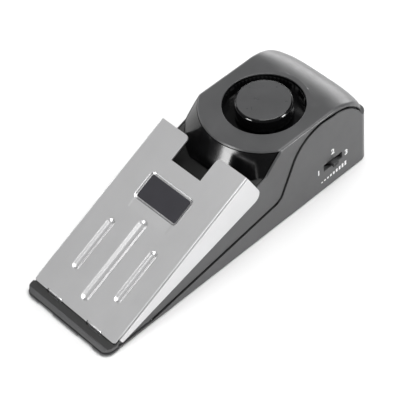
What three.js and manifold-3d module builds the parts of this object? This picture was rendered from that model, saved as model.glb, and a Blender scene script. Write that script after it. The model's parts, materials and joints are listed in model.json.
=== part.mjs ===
// Wedge door stop with a siren, a sprung pressure plate and a sensitivity switch, in millimetres.
// X runs across the body, Y from the thin tip to the thick end, Z up from the floor it stands on.
import * as THREE from "three";
import { mergeVertices } from "three/addons/utils/BufferGeometryUtils.js";
import Module from "manifold-3d";

const wasm = await Module();
wasm.setup();

// Body: overall sizes, shell walls and the gap kept between pieces that seat on each other
const bodyLength = 145;
const topHeight = 40;
const cornerRadius = 4;
const wall = 2;
const padProud = 0.6;
const floorThickness = 2;
const fitGap = 0.3;
const cutOver = 2;

// Tip: a low lip, a chamfer and a flat strip before the deck starts to climb
const lipTop = 1.8;
const tipTop = 3.9;
const tipChamferRun = 1.8;
const tipChamferDrop = 1.9;
const tipEndLength = 6.6;
const tipInset = 0.3;
const deckStart = 5;
const deckStep = 1;
const deckEndDrop = 9.85;
const tipSolidLength = 11.5;

// Thick end: the top rolls down into the back wall
const rollRadius = 20;
const backFootRadius = 2;

// Pressure plate: bent sheet that hooks into the tip and stands clear of the deck
const plateWidth = 48.1;
const plateBackProud = 0.1;
const plateToDrum = 6.7;
const plateThickness = 0.7;
const plateSideGap = 0.3;
const plateFaceHeight = 1.1;
const plateFrontSetback = 0.5;
const hingeFromFront = 5.2;
const hingeHeight = 3.4;
const pressAngle = THREE.MathUtils.degToRad(4);
const flangeFrontSetback = 2.5;
const flangeFrontDepth = 3;
const flangeBackDepth = 15.8;
const flangeCornerRadius = 4;
const notchWidth = 16.2;
const notchDepth = 11.4;
const prongRadius = 2;
const plateCornerRadius = 1.6;
const tabWidth = 7.8;
const tabSpacing = 23;
const tabHookReach = 1.9;
const tabSlotClearance = 0.4;

// Plate pressings: three grooves with round ends and a recess for the name plate
const grooveDepth = 0.8;
const grooveSpacing = 12.2;
const outerGrooveWidth = 4.2;
const outerGrooveLength = 25;
const outerGrooveStart = 12.5;
const midGrooveWidth = 4.9;
const midGrooveLength = 39.4;
const midGrooveStart = 5.2;
const labelWidth = 21.4;
const labelDepth = 10.6;
const labelThickness = 0.4;
const labelCentre = 55.3;
const labelCornerRadius = 0.8;
const labelMargin = 1.1;
const recessDepth = 0.6;

// Seam between the two shells, drawn on the side of the body
const seamGap = 0.3;
const seamLedge = 0.55;
const seamLipLength = 24.4;
const seamFootFromBack = 53;
const seamFootHeight = 12.5;
const seamFootRadius = 5.5;
const seamRiseAngle = THREE.MathUtils.degToRad(63);
const seamCrownRadius = 19.4;
const seamCrownDrop = 1.4;
const seamRollDrop = 1.9;
const seamRollEnd = THREE.MathUtils.degToRad(23);

// Siren: flared drum, round well, cap, and the sounder below the well floor
const sirenFromBack = 34.84;
const drumCornerReach = 2.95;
const drumFlare = THREE.MathUtils.degToRad(33.4);
const wellRadius = 16.8;
const wellDepth = 6;
const soundHoleRadius = 7.5;
const drumRibCount = 3;
const drumRibSpread = THREE.MathUtils.degToRad(40);
const drumRibThickness = 1.6;
const deckRim = 0.6;
const roofEdge = 0.6;
const capRadius = 11.8;
const capProud = 2;
const capWall = 1.4;
const capEdgeRadius = 1;
const capFootHeight = 1.5;
const capFootWidth = 3;
const capFootCount = 3;
const piezoRadius = 14.5;
const piezoThickness = 0.3;
const ceramicRadius = 10;
const ceramicThickness = 0.25;
const sealThickness = 0.8;
const sealWidth = 3.5;
const chamberRadius = 16.3;
const chamberHeight = 8.2;
const chamberFloor = 1.5;
const chamberStep = 0.9;
const chamberEarReach = 20;
const chamberEarWidth = 6.4;
const chamberEarThickness = 1.7;
const chamberGateHeight = 3;

// Battery: a nine volt block lying flat over the sliding door
const batteryWidth = 26.5;
const batteryLength = 46.4;
const batteryHeight = 17.5;
const batteryEdgeRadius = 2;
const terminalHeight = 2.1;
const terminalSpacing = 12.7;
const plusTerminalRadius = 2.9;
const minusTerminalRadius = 4;
const batteryBackGap = 1.7;
const baySideGap = 0.5;
const bayWall = 1.3;
const bayHeight = 17;
const bayFrontGap = 1;
const snapThickness = 3;
const snapHeight = 12.7;
const snapSideInset = 0.5;
const cushionLength = 30;
const cushionWidth = 20;

// Battery door: slides out to the back in two rails
const doorThickness = 1.8;
const doorWidth = 27.6;
const doorTongue = 1.2;
const doorTongueThickness = 0.9;
const railWidth = 3;
const railHeight = 3.3;
const doorGripCount = 4;
const doorGripPitch = 2.4;
const doorGripWidth = 0.9;
const doorGripDepth = 0.4;
const doorGripLength = 16;
const doorGripFromBack = 8;

// Grip pad and feet under the body
const padWidth = 29;
const padLength = 64.5;
const padRecess = 0.4;
const padFromFront = 12;
const padCornerRadius = 3;
const footWidth = 3.6;
const footLength = 12;
const footFromBack = 24;
const footInset = 3.4;

// Screws
const screwInset = 5.4;
const frontScrewShare = 0.451;
const backScrewFromBack = 6.5;
const screwHeadRadius = 2.3;
const screwHeadHeight = 1.2;
const screwShankRadius = 1.1;
const screwLength = 6.5;
const bossRadius = 2.5;
const smallHeadRadius = 1.9;
const smallHeadHeight = 1.1;
const smallShankRadius = 0.9;
const smallScrewLength = 4.6;
const driveDepth = 0.6;
const driveWidth = 0.7;
const countersinkClearance = 0.3;

// Main board and what stands on it
const boardSideGap = 2.6;
const boardToBay = 10.7;
const boardThickness = 1.2;
const boardFrontShare = 0.425;
const boardStandoff = 1.6;
const boardCornerCut = 4;
const boardEdgeGap = 0.5;
const standoffRadius = 2.2;
const boardHoleInset = 3.4;
const boardHoleShare = 0.55;
const triggerAcross = 6.3;
const triggerShare = 0.556;
const triggerSwitchSize = 7;
const triggerSwitchHeight = 5.3;
const triggerBaseThickness = 0.5;
const triggerButtonRadius = 1.8;
const pusherRadius = 2.1;
const pusherFlangeRadius = 2.3;
const pusherFlangeThickness = 0.8;
const chipRadius = 4;
const chipHeight = 1.3;
const coilRadius = 4.6;
const coilCoreRadius = 2.8;
const coilHeight = 9;
const coilFlange = 1.2;
const transistorWidth = 4.6;
const transistorDepth = 3.6;
const transistorHeight = 4.8;
const legHeight = 1.6;
const capacitorRadius = 2.6;
const capacitorHeight = 8;
const resistorRadius = 1.1;
const resistorLength = 6;
const resistorLead = 1.6;
const resistorLeadRadius = 0.35;
const sensorRadius = 2.4;
const sensorLength = 11;

// Places on the main board: share of its width from the middle, share of its length from the back
const chipShares = [0.25, 0.42];
const coilShares = [0.335, 0.21];
const transistorShares = [-0.125, 0.2];
const capacitorShares = [[-0.333, 0.12], [-0.333, 0.3]];
const resistorShares = [[0.167, 0.875], [0.167, 0.785], [0.167, 0.694]];
const sensorShares = [-0.04, 0.39];

// Return springs under the plate and their cups in the deck
const springRadius = 2.6;
const springWire = 0.7;
const springCurls = 4;
const springAcross = 15.5;
const springShare = 0.604;
const cupRadius = 4.2;
const cupDepth = 4.5;
const cupWall = 1.2;
const seatFlangeRadius = 2.8;
const seatFlangeThickness = 0.8;
const seatPinRadius = 1;
const seatPinLength = 2.2;

// Sensitivity switch behind its slot in the side wall
const slotLength = 10.6;
const slotHeight = 3.6;
const slotFromBack = 20.6;
const slotCentreHeight = 12.4;
const knobLength = 4;
const knobHeight = 3;
const knobProud = 2;
const sensitivityTravel = 3;
const switchBodyLength = 12.6;
const switchBodyHeight = 6;
const switchChannelDepth = 2.2;
const sliderFootLength = 3.2;
const sliderFootHeight = 2.2;
const sliderFootDepth = 1.4;
const sideBoardThickness = 1.2;
const sideBoardHeight = 9;

// Power switch in a shallow pocket under the body
const powerFromDoor = 7;
const powerPocketLength = 16;
const powerPocketWidth = 7.4;
const powerPocketDepth = 0.7;
const powerSlotLength = 9.4;
const powerSlotWidth = 3.4;
const powerKnobLength = 4.6;
const powerKnobWidth = 2.8;
const powerTravel = 4;
const powerBodyLength = 13;
const powerBodyWidth = 6.2;
const powerBodyHeight = 4.6;
const powerRidge = 0.4;

// Internal leads
const leadRadius = 0.6;
const leadCount = 6;
const leadPitch = 3;
const leadPadInset = 2.4;
const leadBend = 3;
const leadSwoop = 9;
const snapLeadShare = 0.25;
const powerLeadShares = [0.26, 0.42];

// Facets per full turn
const fineSegments = 64;
const roundSegments = 32;
const smallSegments = 16;
const leadSides = 8;
const rollSteps = 12;
const seamSteps = 8;
const roundSteps = 6;
const cornerSteps = 4;
const edgeSteps = 3;
const springSteps = 8;
const springSides = 5;

// Places worked out from the sizes above
const yFront = -bodyLength / 2;
const yBack = bodyLength / 2;
const caseBottom = padProud;
const floorTop = caseBottom + floorThickness;
const upperHalf = plateWidth / 2 - plateThickness - plateSideGap;
const lowerHalf = upperHalf + seamLedge;
const upperInnerHalf = upperHalf - wall;
const lowerInnerHalf = lowerHalf - wall;
const upperBack = yBack - tipInset;
const yDeckStart = yFront + deckStart;
const yTipEnd = yFront + tipEndLength;
const yHollowFront = yFront + tipSolidLength;
const plateHalf = plateWidth / 2;
const ySiren = yBack - sirenFromBack;
const drumTopRadius = upperHalf + drumCornerReach;
const deckLow = tipTop - deckStep;
const deckAngle = Math.atan2(topHeight - deckEndDrop - deckLow, ySiren - drumTopRadius - yDeckStart);
const deckDrop = wall / Math.cos(deckAngle);
const deckAt = (y) => deckLow + Math.tan(deckAngle) * (y - yDeckStart);
const drumSlope = Math.tan(drumFlare);
const yHinge = yFront + hingeFromFront;
const plateTop = plateFaceHeight;
const plateUnder = plateTop - plateThickness;
const plateStart = plateFrontSetback;
const plateRun = ySiren - drumTopRadius - plateToDrum - yHinge;
const plateRise = topHeight + plateBackProud - hingeHeight;
const plateEnd = Math.sqrt(plateRun ** 2 + plateRise ** 2 - plateTop ** 2);
const plateAngle = Math.atan2(plateRise, plateRun) - Math.atan2(plateTop, plateEnd);
const wellFloorTop = topHeight - wellDepth;
const wellFloorBottom = wellFloorTop - wall;
const yDoorFront = yBack - wall - batteryBackGap - batteryLength - terminalHeight - snapThickness
  - fitGap - bayFrontGap - bayWall;
const yBatteryBack = yBack - wall - batteryBackGap;
const yBatteryFront = yBatteryBack - batteryLength;
const doorTop = caseBottom + doorThickness;
const batteryBottom = doorTop + fitGap;
const batteryTop = batteryBottom + batteryHeight;
const terminalZ = batteryBottom + batteryHeight / 2;
const snapBack = yBatteryFront - terminalHeight;
const snapFront = snapBack - fitGap - snapThickness;
const boardBottom = floorTop + boardStandoff;
const boardTop = boardBottom + boardThickness;
const yBoardBack = yDoorFront - boardToBay;
const xScrew = lowerHalf - screwInset;
const ySensitivity = yBack - slotFromBack;
const yPower = yDoorFront - powerFromDoor;
const boardHalf = lowerInnerHalf - boardSideGap;
const boardWidth = 2 * boardHalf;
const alongFront = (share) => yFront + share * (yBoardBack - yFront);
const yBoardFront = alongFront(boardFrontShare);
const boardLength = yBoardBack - yBoardFront;
const yTrigger = alongFront(triggerShare);
const ySpring = alongFront(springShare);
const triggerFromHinge = yTrigger - yHinge;

// Finishes
const satinGrey = { color: 0x5f6062, roughness: 0.45, metalness: 0 };
const glossBlack = { color: 0x0c0c0d, roughness: 0.12, metalness: 0 };
const blackPlastic = { color: 0x1b1b1c, roughness: 0.5, metalness: 0 };
const rubberBlack = { color: 0x161616, roughness: 0.9, metalness: 0 };
const steelPlate = { color: 0xb9babb, roughness: 0.35, metalness: 0.7 };
const labelViolet = { color: 0x3d3d42, roughness: 0.4, metalness: 0.1 };
const zincSteel = { color: 0xa8abae, roughness: 0.35, metalness: 1 };
const brass = { color: 0xc9a24a, roughness: 0.3, metalness: 1 };
const ceramicWhite = { color: 0xe4e0d4, roughness: 0.6, metalness: 0 };
const boardGreen = { color: 0x1f6b3a, roughness: 0.5, metalness: 0 };
const foamGrey = { color: 0x3a3a3c, roughness: 0.95, metalness: 0 };
const batteryBlue = { color: 0x2a3f63, roughness: 0.4, metalness: 0.3 };
const copperWire = { color: 0x9c4a22, roughness: 0.35, metalness: 0.8 };
const resistorTan = { color: 0xc8ad7a, roughness: 0.5, metalness: 0 };
const leadRed = { color: 0xb02020, roughness: 0.5, metalness: 0 };
const leadBlack = { color: 0x151515, roughness: 0.5, metalness: 0 };

// A closed geometry made a solid that can be joined and cut
function solid(geometry) {
  const bare = geometry.clone();
  bare.deleteAttribute("normal");
  bare.deleteAttribute("uv");
  const merged = mergeVertices(bare, 1e-4);
  const source = new wasm.Mesh({
    numProp: 3,
    vertProperties: new Float32Array(merged.attributes.position.array),
    triVerts: new Uint32Array(merged.index.array),
  });
  return new wasm.Manifold(source);
}

// A solid turned back into a geometry for its mesh
function geometryOf(shape) {
  const source = shape.getMesh();
  const geometry = new THREE.BufferGeometry();
  geometry.setAttribute("position", new THREE.BufferAttribute(source.vertProperties, source.numProp));
  geometry.setIndex(new THREE.BufferAttribute(source.triVerts, 1));
  geometry.computeVertexNormals();
  return geometry;
}

// A named piece in its own finish
function piece(name, shape, finish) {
  const geometry = shape.isBufferGeometry ? shape : geometryOf(shape);
  const mesh = new THREE.Mesh(geometry, new THREE.MeshStandardMaterial(finish));
  mesh.name = name;
  return mesh;
}

// Several solids joined into one
function join(shapes) {
  return shapes.reduce((whole, shape) => whole.add(shape));
}

// Several solids cut out of one
function cut(shape, tools) {
  return tools.reduce((rest, tool) => rest.subtract(tool), shape);
}

// Points of an outline as a flat shape
function outline(points) {
  return new THREE.Shape(points.map(([u, v]) => new THREE.Vector2(u, v)));
}

// Points along an arc, from one angle to another
function arcPoints(centreU, centreV, radius, from, to, steps) {
  return Array.from({ length: steps + 1 }, (_, i) => {
    const angle = from + ((to - from) * i) / steps;
    return [centreU + radius * Math.cos(angle), centreV + radius * Math.sin(angle)];
  });
}

// A rectangle with round corners, from its limits
function roundedRectangle(u0, u1, v0, v1, radius, steps = cornerSteps) {
  const quarter = Math.PI / 2;
  const corners = [[u1 - radius, v0 + radius], [u1 - radius, v1 - radius],
    [u0 + radius, v1 - radius], [u0 + radius, v0 + radius]];
  return corners.flatMap(([u, v], i) => arcPoints(u, v, radius, (i - 1) * quarter, i * quarter, steps));
}

// A side outline in Y and Z carried across the body in X
function sidePrism(points, x0, x1) {
  const geometry = new THREE.ExtrudeGeometry(outline(points), { depth: x1 - x0, bevelEnabled: false });
  const turn = new THREE.Matrix4().makeBasis(
    new THREE.Vector3(0, 1, 0), new THREE.Vector3(0, 0, 1), new THREE.Vector3(1, 0, 0));
  geometry.applyMatrix4(turn);
  geometry.translate(x0, 0, 0);
  return solid(geometry);
}

// A plan outline in X and Y carried up in Z
function planPrism(points, z0, z1) {
  const geometry = new THREE.ExtrudeGeometry(outline(points), { depth: z1 - z0, bevelEnabled: false });
  geometry.translate(0, 0, z0);
  return solid(geometry);
}

// A box from its limits
function block(x0, x1, y0, y1, z0, z1) {
  const geometry = new THREE.BoxGeometry(x1 - x0, y1 - y0, z1 - z0);
  geometry.translate((x0 + x1) / 2, (y0 + y1) / 2, (z0 + z1) / 2);
  return solid(geometry);
}

// An upright cylinder or cone
function post(x, y, z0, z1, radius, segments = smallSegments, topRadius = radius) {
  const geometry = new THREE.CylinderGeometry(topRadius, radius, z1 - z0, segments);
  geometry.rotateX(Math.PI / 2);
  geometry.translate(x, y, (z0 + z1) / 2);
  return solid(geometry);
}

// A cylinder lying along X
function rodAcross(x0, x1, y, z, radius, segments = smallSegments) {
  const geometry = new THREE.CylinderGeometry(radius, radius, x1 - x0, segments);
  geometry.rotateZ(-Math.PI / 2);
  geometry.translate((x0 + x1) / 2, y, z);
  return solid(geometry);
}

// A solid of revolution about an upright axis, from radius and height pairs
function turned(x, y, profile, segments = roundSegments) {
  const geometry = new THREE.LatheGeometry(profile.map(([r, z]) => new THREE.Vector2(r, z)), segments);
  geometry.rotateX(Math.PI / 2);
  geometry.translate(x, y, 0);
  return solid(geometry);
}

// A tube along a smooth route
function tubeAlong(points, radius, sides) {
  const route = new THREE.CatmullRomCurve3(points.map(([x, y, z]) => new THREE.Vector3(x, y, z)));
  const section = outline(arcPoints(0, 0, radius, 0, 2 * Math.PI * (1 - 1 / sides), sides - 1));
  const steps = edgeSteps * points.length;
  return solid(new THREE.ExtrudeGeometry(section, { steps, extrudePath: route, bevelEnabled: false }));
}

// Each point of an open curve moved square to the curve, to its left
function offsetCurve(points, distance) {
  return points.map(([u, v], i) => {
    const before = points[Math.max(i - 1, 0)];
    const after = points[Math.min(i + 1, points.length - 1)];
    const du = after[0] - before[0];
    const dv = after[1] - before[1];
    const length = Math.hypot(du, dv);
    return [u - (distance * dv) / length, v + (distance * du) / length];
  });
}

// The seam on the side of the body, from the tip to the back
function seamCurve() {
  const yFoot = yBack - seamFootFromBack;
  const yLipEnd = yFront + seamLipLength;
  const seamSlope = Math.atan2(seamFootHeight - lipTop, yFoot - yLipEnd);
  const footCentre = [yFoot - seamFootRadius * Math.sin(seamSlope),
    seamFootHeight + seamFootRadius * Math.cos(seamSlope)];
  const foot = arcPoints(...footCentre, seamFootRadius, seamSlope - Math.PI / 2,
    seamRiseAngle - Math.PI / 2, roundSteps);
  const crownTop = topHeight - seamCrownDrop;
  const crownZ = crownTop - seamCrownRadius;
  const [yRise, zRise] = foot[foot.length - 1];
  const zTangent = crownZ + seamCrownRadius * Math.cos(seamRiseAngle);
  const yTangent = yRise + (zTangent - zRise) / Math.tan(seamRiseAngle);
  const crownY = yTangent + seamCrownRadius * Math.sin(seamRiseAngle);
  const crown = arcPoints(crownY, crownZ, seamCrownRadius, Math.PI / 2 + seamRiseAngle, Math.PI / 2,
    seamSteps);
  const rollY = yBack - rollRadius;
  const rollZ = topHeight - rollRadius;
  const roll = arcPoints(rollY, rollZ, rollRadius - seamRollDrop, Math.PI / 2, seamRollEnd,
    seamSteps);
  const zEnd = roll[roll.length - 1][1];
  const rollPart = roll.filter(([y]) => y > crownY + seamRollDrop);
  return [[yFront - cutOver, lipTop], [yLipEnd, lipTop], ...foot, ...crown, ...rollPart,
    [yBack + cutOver, zEnd]];
}

// Everything below the seam, moved up by a distance, as a side outline
function belowSeam(distance) {
  const floorLine = -cutOver;
  return [[yFront - cutOver, floorLine], ...offsetCurve(seamCurve(), distance),
    [yBack + cutOver, floorLine]].reverse();
}

// Plan outline of a shell, with a margin taken off all round
function planOutline(half, back, margin) {
  const radius = cornerRadius - margin;
  return roundedRectangle(-half + margin, half - margin, yFront + margin, back - margin, radius);
}

// The tip in plan, as wide as the plate behind it
function tipPlan(half, front, z0, z1) {
  const whole = planPrism(roundedRectangle(-half, half, front, yBack, cornerRadius), z0, z1);
  return whole.intersect(block(-half, half, front, yTipEnd, z0, z1));
}

// Side outline of the thick end, from the drum back, with a margin taken off
function thickEndOutline(y0, back, margin) {
  const centreY = back - rollRadius;
  const centreZ = topHeight - rollRadius;
  const roll = arcPoints(centreY, centreZ, rollRadius - margin, 0, Math.PI / 2, rollSteps);
  return [[y0, -cutOver], [back - margin, -cutOver], ...roll, [y0, topHeight - margin]];
}

// Side outline of the wedge under the deck, with the tip's chamfer
function wedgeOutline() {
  const tip = yFront + tipInset;
  return [[tip, -cutOver], [ySiren, -cutOver], [ySiren, deckAt(ySiren)],
    [yDeckStart, deckAt(yDeckStart)], [yDeckStart, tipTop], [tip + tipChamferRun, tipTop],
    [tip, tipTop - tipChamferDrop]];
}

// Side outline of the hollow under the deck
function wedgeHollowOutline() {
  return [[yHollowFront, -cutOver], [ySiren, -cutOver], [ySiren, deckAt(ySiren) - deckDrop],
    [yHollowFront, deckAt(yHollowFront) - deckDrop]];
}

// The flared drum in front of the thick end, up to a height, with a margin taken off its wall
function drumCone(half, margin, top) {
  const footRadius = drumTopRadius + topHeight * drumSlope - margin / Math.cos(drumFlare);
  const cone = post(0, ySiren, 0, top, footRadius, fineSegments, footRadius - top * drumSlope);
  const front = block(-half, half, ySiren - footRadius, ySiren, 0, top);
  return cone.intersect(front);
}

// The whole outside of the upper shell before the seam divides it
function upperOutside() {
  const yDrumCorner = ySiren - Math.sqrt(drumTopRadius ** 2 - upperHalf ** 2);
  const parts = [
    sidePrism(wedgeOutline(), -upperHalf, upperHalf),
    sidePrism(thickEndOutline(yDrumCorner, upperBack, 0), -upperHalf, upperHalf),
    drumCone(upperHalf, 0, topHeight),
  ];
  const clip = planPrism(planOutline(upperHalf, upperBack, 0), 0, topHeight + cutOver);
  const tip = sidePrism(wedgeOutline(), -plateHalf, plateHalf)
    .intersect(tipPlan(plateHalf - tipInset, yFront + tipInset, 0, topHeight));
  return join(parts).intersect(clip).add(tip);
}

// The hollow of the upper shell
function upperHollow() {
  const yDrumCorner = ySiren - Math.sqrt(drumTopRadius ** 2 - upperHalf ** 2);
  const parts = [
    sidePrism(wedgeHollowOutline(), -upperInnerHalf, upperInnerHalf),
    sidePrism(thickEndOutline(yDrumCorner + wall, upperBack, wall), -upperInnerHalf, upperInnerHalf),
    drumCone(upperInnerHalf, wall, topHeight - wall),
  ];
  const clip = planPrism(planOutline(upperHalf, upperBack, wall), -cutOver, topHeight);
  return join(parts).intersect(clip);
}

// The places of the four case screws
const casePoints = [
  [-xScrew, alongFront(frontScrewShare)], [xScrew, alongFront(frontScrewShare)],
  [-xScrew, yBack - backScrewFromBack], [xScrew, yBack - backScrewFromBack],
];
const caseHeadTop = caseBottom + screwHeadHeight;
const caseScrewTop = caseHeadTop + screwLength;
const caseBossTop = caseBottom + railHeight;

// The places of the two screws that hold the sound chamber
const chamberPoints = [[0, ySiren - chamberEarReach], [0, ySiren + chamberEarReach]];
const chamberTop = wellFloorBottom - fitGap;
const chamberBottom = chamberTop - chamberHeight;
const earBottom = chamberTop - chamberEarThickness;

// The spring cups sunk in the deck
const springPlaces = [-springAcross, springAcross];
const cupFloor = deckAt(ySpring) - cupDepth;
const tabCentres = [-tabSpacing / 2, tabSpacing / 2];
const triggerX = -triggerAcross;
const buttonTravel = triggerFromHinge * Math.sin(pressAngle);
const pusherSwing = (deckAt(yTrigger) - hingeHeight) * Math.sin(pressAngle);

// The part of the upper shell that is moulded on its own: deck, drum and well, grown by a gap
function deckZone(gap) {
  const half = upperHalf - deckRim - fitGap + gap;
  const innerHalf = upperInnerHalf - fitGap + gap;
  const edgeTop = topHeight - roofEdge - fitGap + gap;
  const innerTop = topHeight - wall - fitGap + gap;
  const start = yHollowFront + fitGap - gap;
  const under = (y) => deckAt(y) - deckDrop - gap;
  const slab = sidePrism([[start, under(start)], [ySiren, under(ySiren)],
    [ySiren, deckAt(ySiren) + wall], [start, deckAt(start) + wall]], -half, half)
    .subtract(drumCone(half, wall + gap, topHeight));
  const shell = drumCone(half, -gap, edgeTop).subtract(drumCone(half, wall + gap, topHeight));
  const inner = block(-innerHalf, innerHalf, start, ySiren, 0, innerTop);
  const well = post(0, ySiren, 0, edgeTop, wellRadius + wall + gap, fineSegments);
  const bossZone = post(0, ySiren, 0, innerTop, chamberEarReach + bossRadius + gap, fineSegments)
    .intersect(block(-innerHalf, innerHalf, 0, yBack, 0, innerTop));
  return join([slab, shell, inner, well, bossZone]);
}

// Both mouldings above the seam as one: deck, drum, well, roof and the bosses inside
function upperWhole() {
  const outside = upperOutside();
  const well = post(0, ySiren, wellFloorBottom, topHeight, wellRadius + wall, fineSegments);
  const cups = springPlaces.map((x) => post(x, ySpring, cupFloor - cupWall, topHeight,
    cupRadius + cupWall, roundSegments));
  const belowDeck = sidePrism([[yDeckStart, -cutOver], [ySiren, -cutOver], [ySiren, deckAt(ySiren)],
    [yDeckStart, deckAt(yDeckStart)]], -upperHalf, upperHalf);
  const bosses = casePoints.map(([x, y]) => post(x, y, caseBossTop + fitGap, topHeight, bossRadius));
  const chamberBosses = chamberPoints.map(([x, y]) => post(x, y, chamberTop + fitGap, topHeight,
    bossRadius));
  const ribHalf = drumRibThickness / 2;
  const ribReach = drumTopRadius + wellDepth * drumSlope;
  const ribs = Array.from({ length: drumRibCount }, (_, i) =>
    block(-ribHalf, ribHalf, -ribReach, -wellRadius - wall / 2, wellFloorBottom, topHeight)
      .rotate([0, 0, THREE.MathUtils.radToDeg((i - (drumRibCount - 1) / 2) * drumRibSpread)])
      .translate([0, ySiren, 0]));
  const inside = join([well, ...bosses, ...chamberBosses, ...ribs])
    .add(join(cups).intersect(belowDeck));
  const shell = outside.subtract(upperHollow()).add(inside.intersect(outside));
  const tabHalf = tabWidth / 2 + tabSlotClearance;
  const slotBack = yHinge + plateFrontSetback + plateThickness + tabSlotClearance;
  const slotFront = yHinge - tabSlotClearance - plateThickness;
  const hookRoof = tipTop - (tipTop - lipTop) / 2 + tipInset;
  const hookFront = yHinge - tabHookReach - tabSlotClearance;
  const slots = tabCentres.flatMap((x) => [
    block(x - tabHalf, x + tabHalf, slotFront, slotBack, 0, topHeight),
    block(x - tabHalf, x + tabHalf, hookFront, slotBack, 0, hookRoof),
  ]);
  const wellCut = post(0, ySiren, wellFloorTop, topHeight + cutOver, wellRadius, fineSegments);
  const soundHole = post(0, ySiren, 0, topHeight, soundHoleRadius, roundSegments);
  const cupCuts = springPlaces.map((x) => post(x, ySpring, cupFloor, topHeight + cutOver, cupRadius,
    roundSegments));
  const triggerHole = post(triggerX, yTrigger + pusherSwing / 2, 0, topHeight,
    pusherRadius + pusherSwing / 2 + fitGap, roundSegments);
  const pilots = casePoints.map(([x, y]) => post(x, y, 0, caseScrewTop + fitGap,
    screwShankRadius + fitGap));
  const chamberPilots = chamberPoints.map(([x, y]) => post(x, y, earBottom,
    earBottom + smallScrewLength + fitGap, smallShankRadius + fitGap));
  const roofSpan = planPrism(planOutline(upperHalf, upperBack, wall), -cutOver, topHeight)
    .intersect(block(-upperHalf, upperHalf, yHollowFront, yBack, -cutOver, topHeight));
  const below = sidePrism(belowSeam(seamGap / 2), -plateHalf - cutOver, plateHalf + cutOver)
    .subtract(roofSpan);
  return cut(shell, [below, ...slots, wellCut, soundHole, ...cupCuts, triggerHole, ...pilots,
    ...chamberPilots]);
}

// Lower shell: floor, side walls up to the seam, battery bay, rails and standoffs
const bayInner = batteryWidth / 2 + baySideGap;
const bayTop = floorTop + bayHeight;
const doorHalf = doorWidth / 2;
const tongueBottom = doorTop - doorTongueThickness;
const sensitivitySlot = [ySensitivity - slotLength / 2, ySensitivity + slotLength / 2];
const padFront = yFront + padFromFront;
const footX = lowerHalf - footInset;
const yFoot = yBack - footFromBack;
const yStandoff = yBoardBack - boardHoleShare * boardLength;
const standoffPoints = [[boardHoleInset - boardHalf, yStandoff], [boardHalf - boardHoleInset, yStandoff]];

function lowerWalls() {
  const cap = planPrism(planOutline(lowerHalf, yBack, 0), caseBottom, topHeight);
  const footArc = arcPoints(yBack - backFootRadius, caseBottom + backFootRadius, backFootRadius,
    -Math.PI / 2, 0, cornerSteps);
  const roundFoot = sidePrism([[yFront, caseBottom], ...footArc, [yBack, topHeight],
    [yFront, topHeight]], -lowerHalf, lowerHalf);
  const outside = sidePrism(belowSeam(-seamGap / 2), -lowerHalf, lowerHalf);
  const hollow = planPrism(planOutline(lowerHalf, yBack, wall), floorTop, topHeight + cutOver);
  const tip = tipPlan(plateHalf, yFront, caseBottom, topHeight).intersect(
    sidePrism(belowSeam(-seamGap / 2), -plateHalf, plateHalf));
  const innerHalf = upperInnerHalf - fitGap;
  const innerFloor = block(-innerHalf, innerHalf, yHollowFront + fitGap, yBack - wall, caseBottom,
    floorTop);
  const shell = outside.intersect(cap).intersect(roundFoot).subtract(hollow);
  return join([shell, tip, innerFloor]);
}

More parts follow.
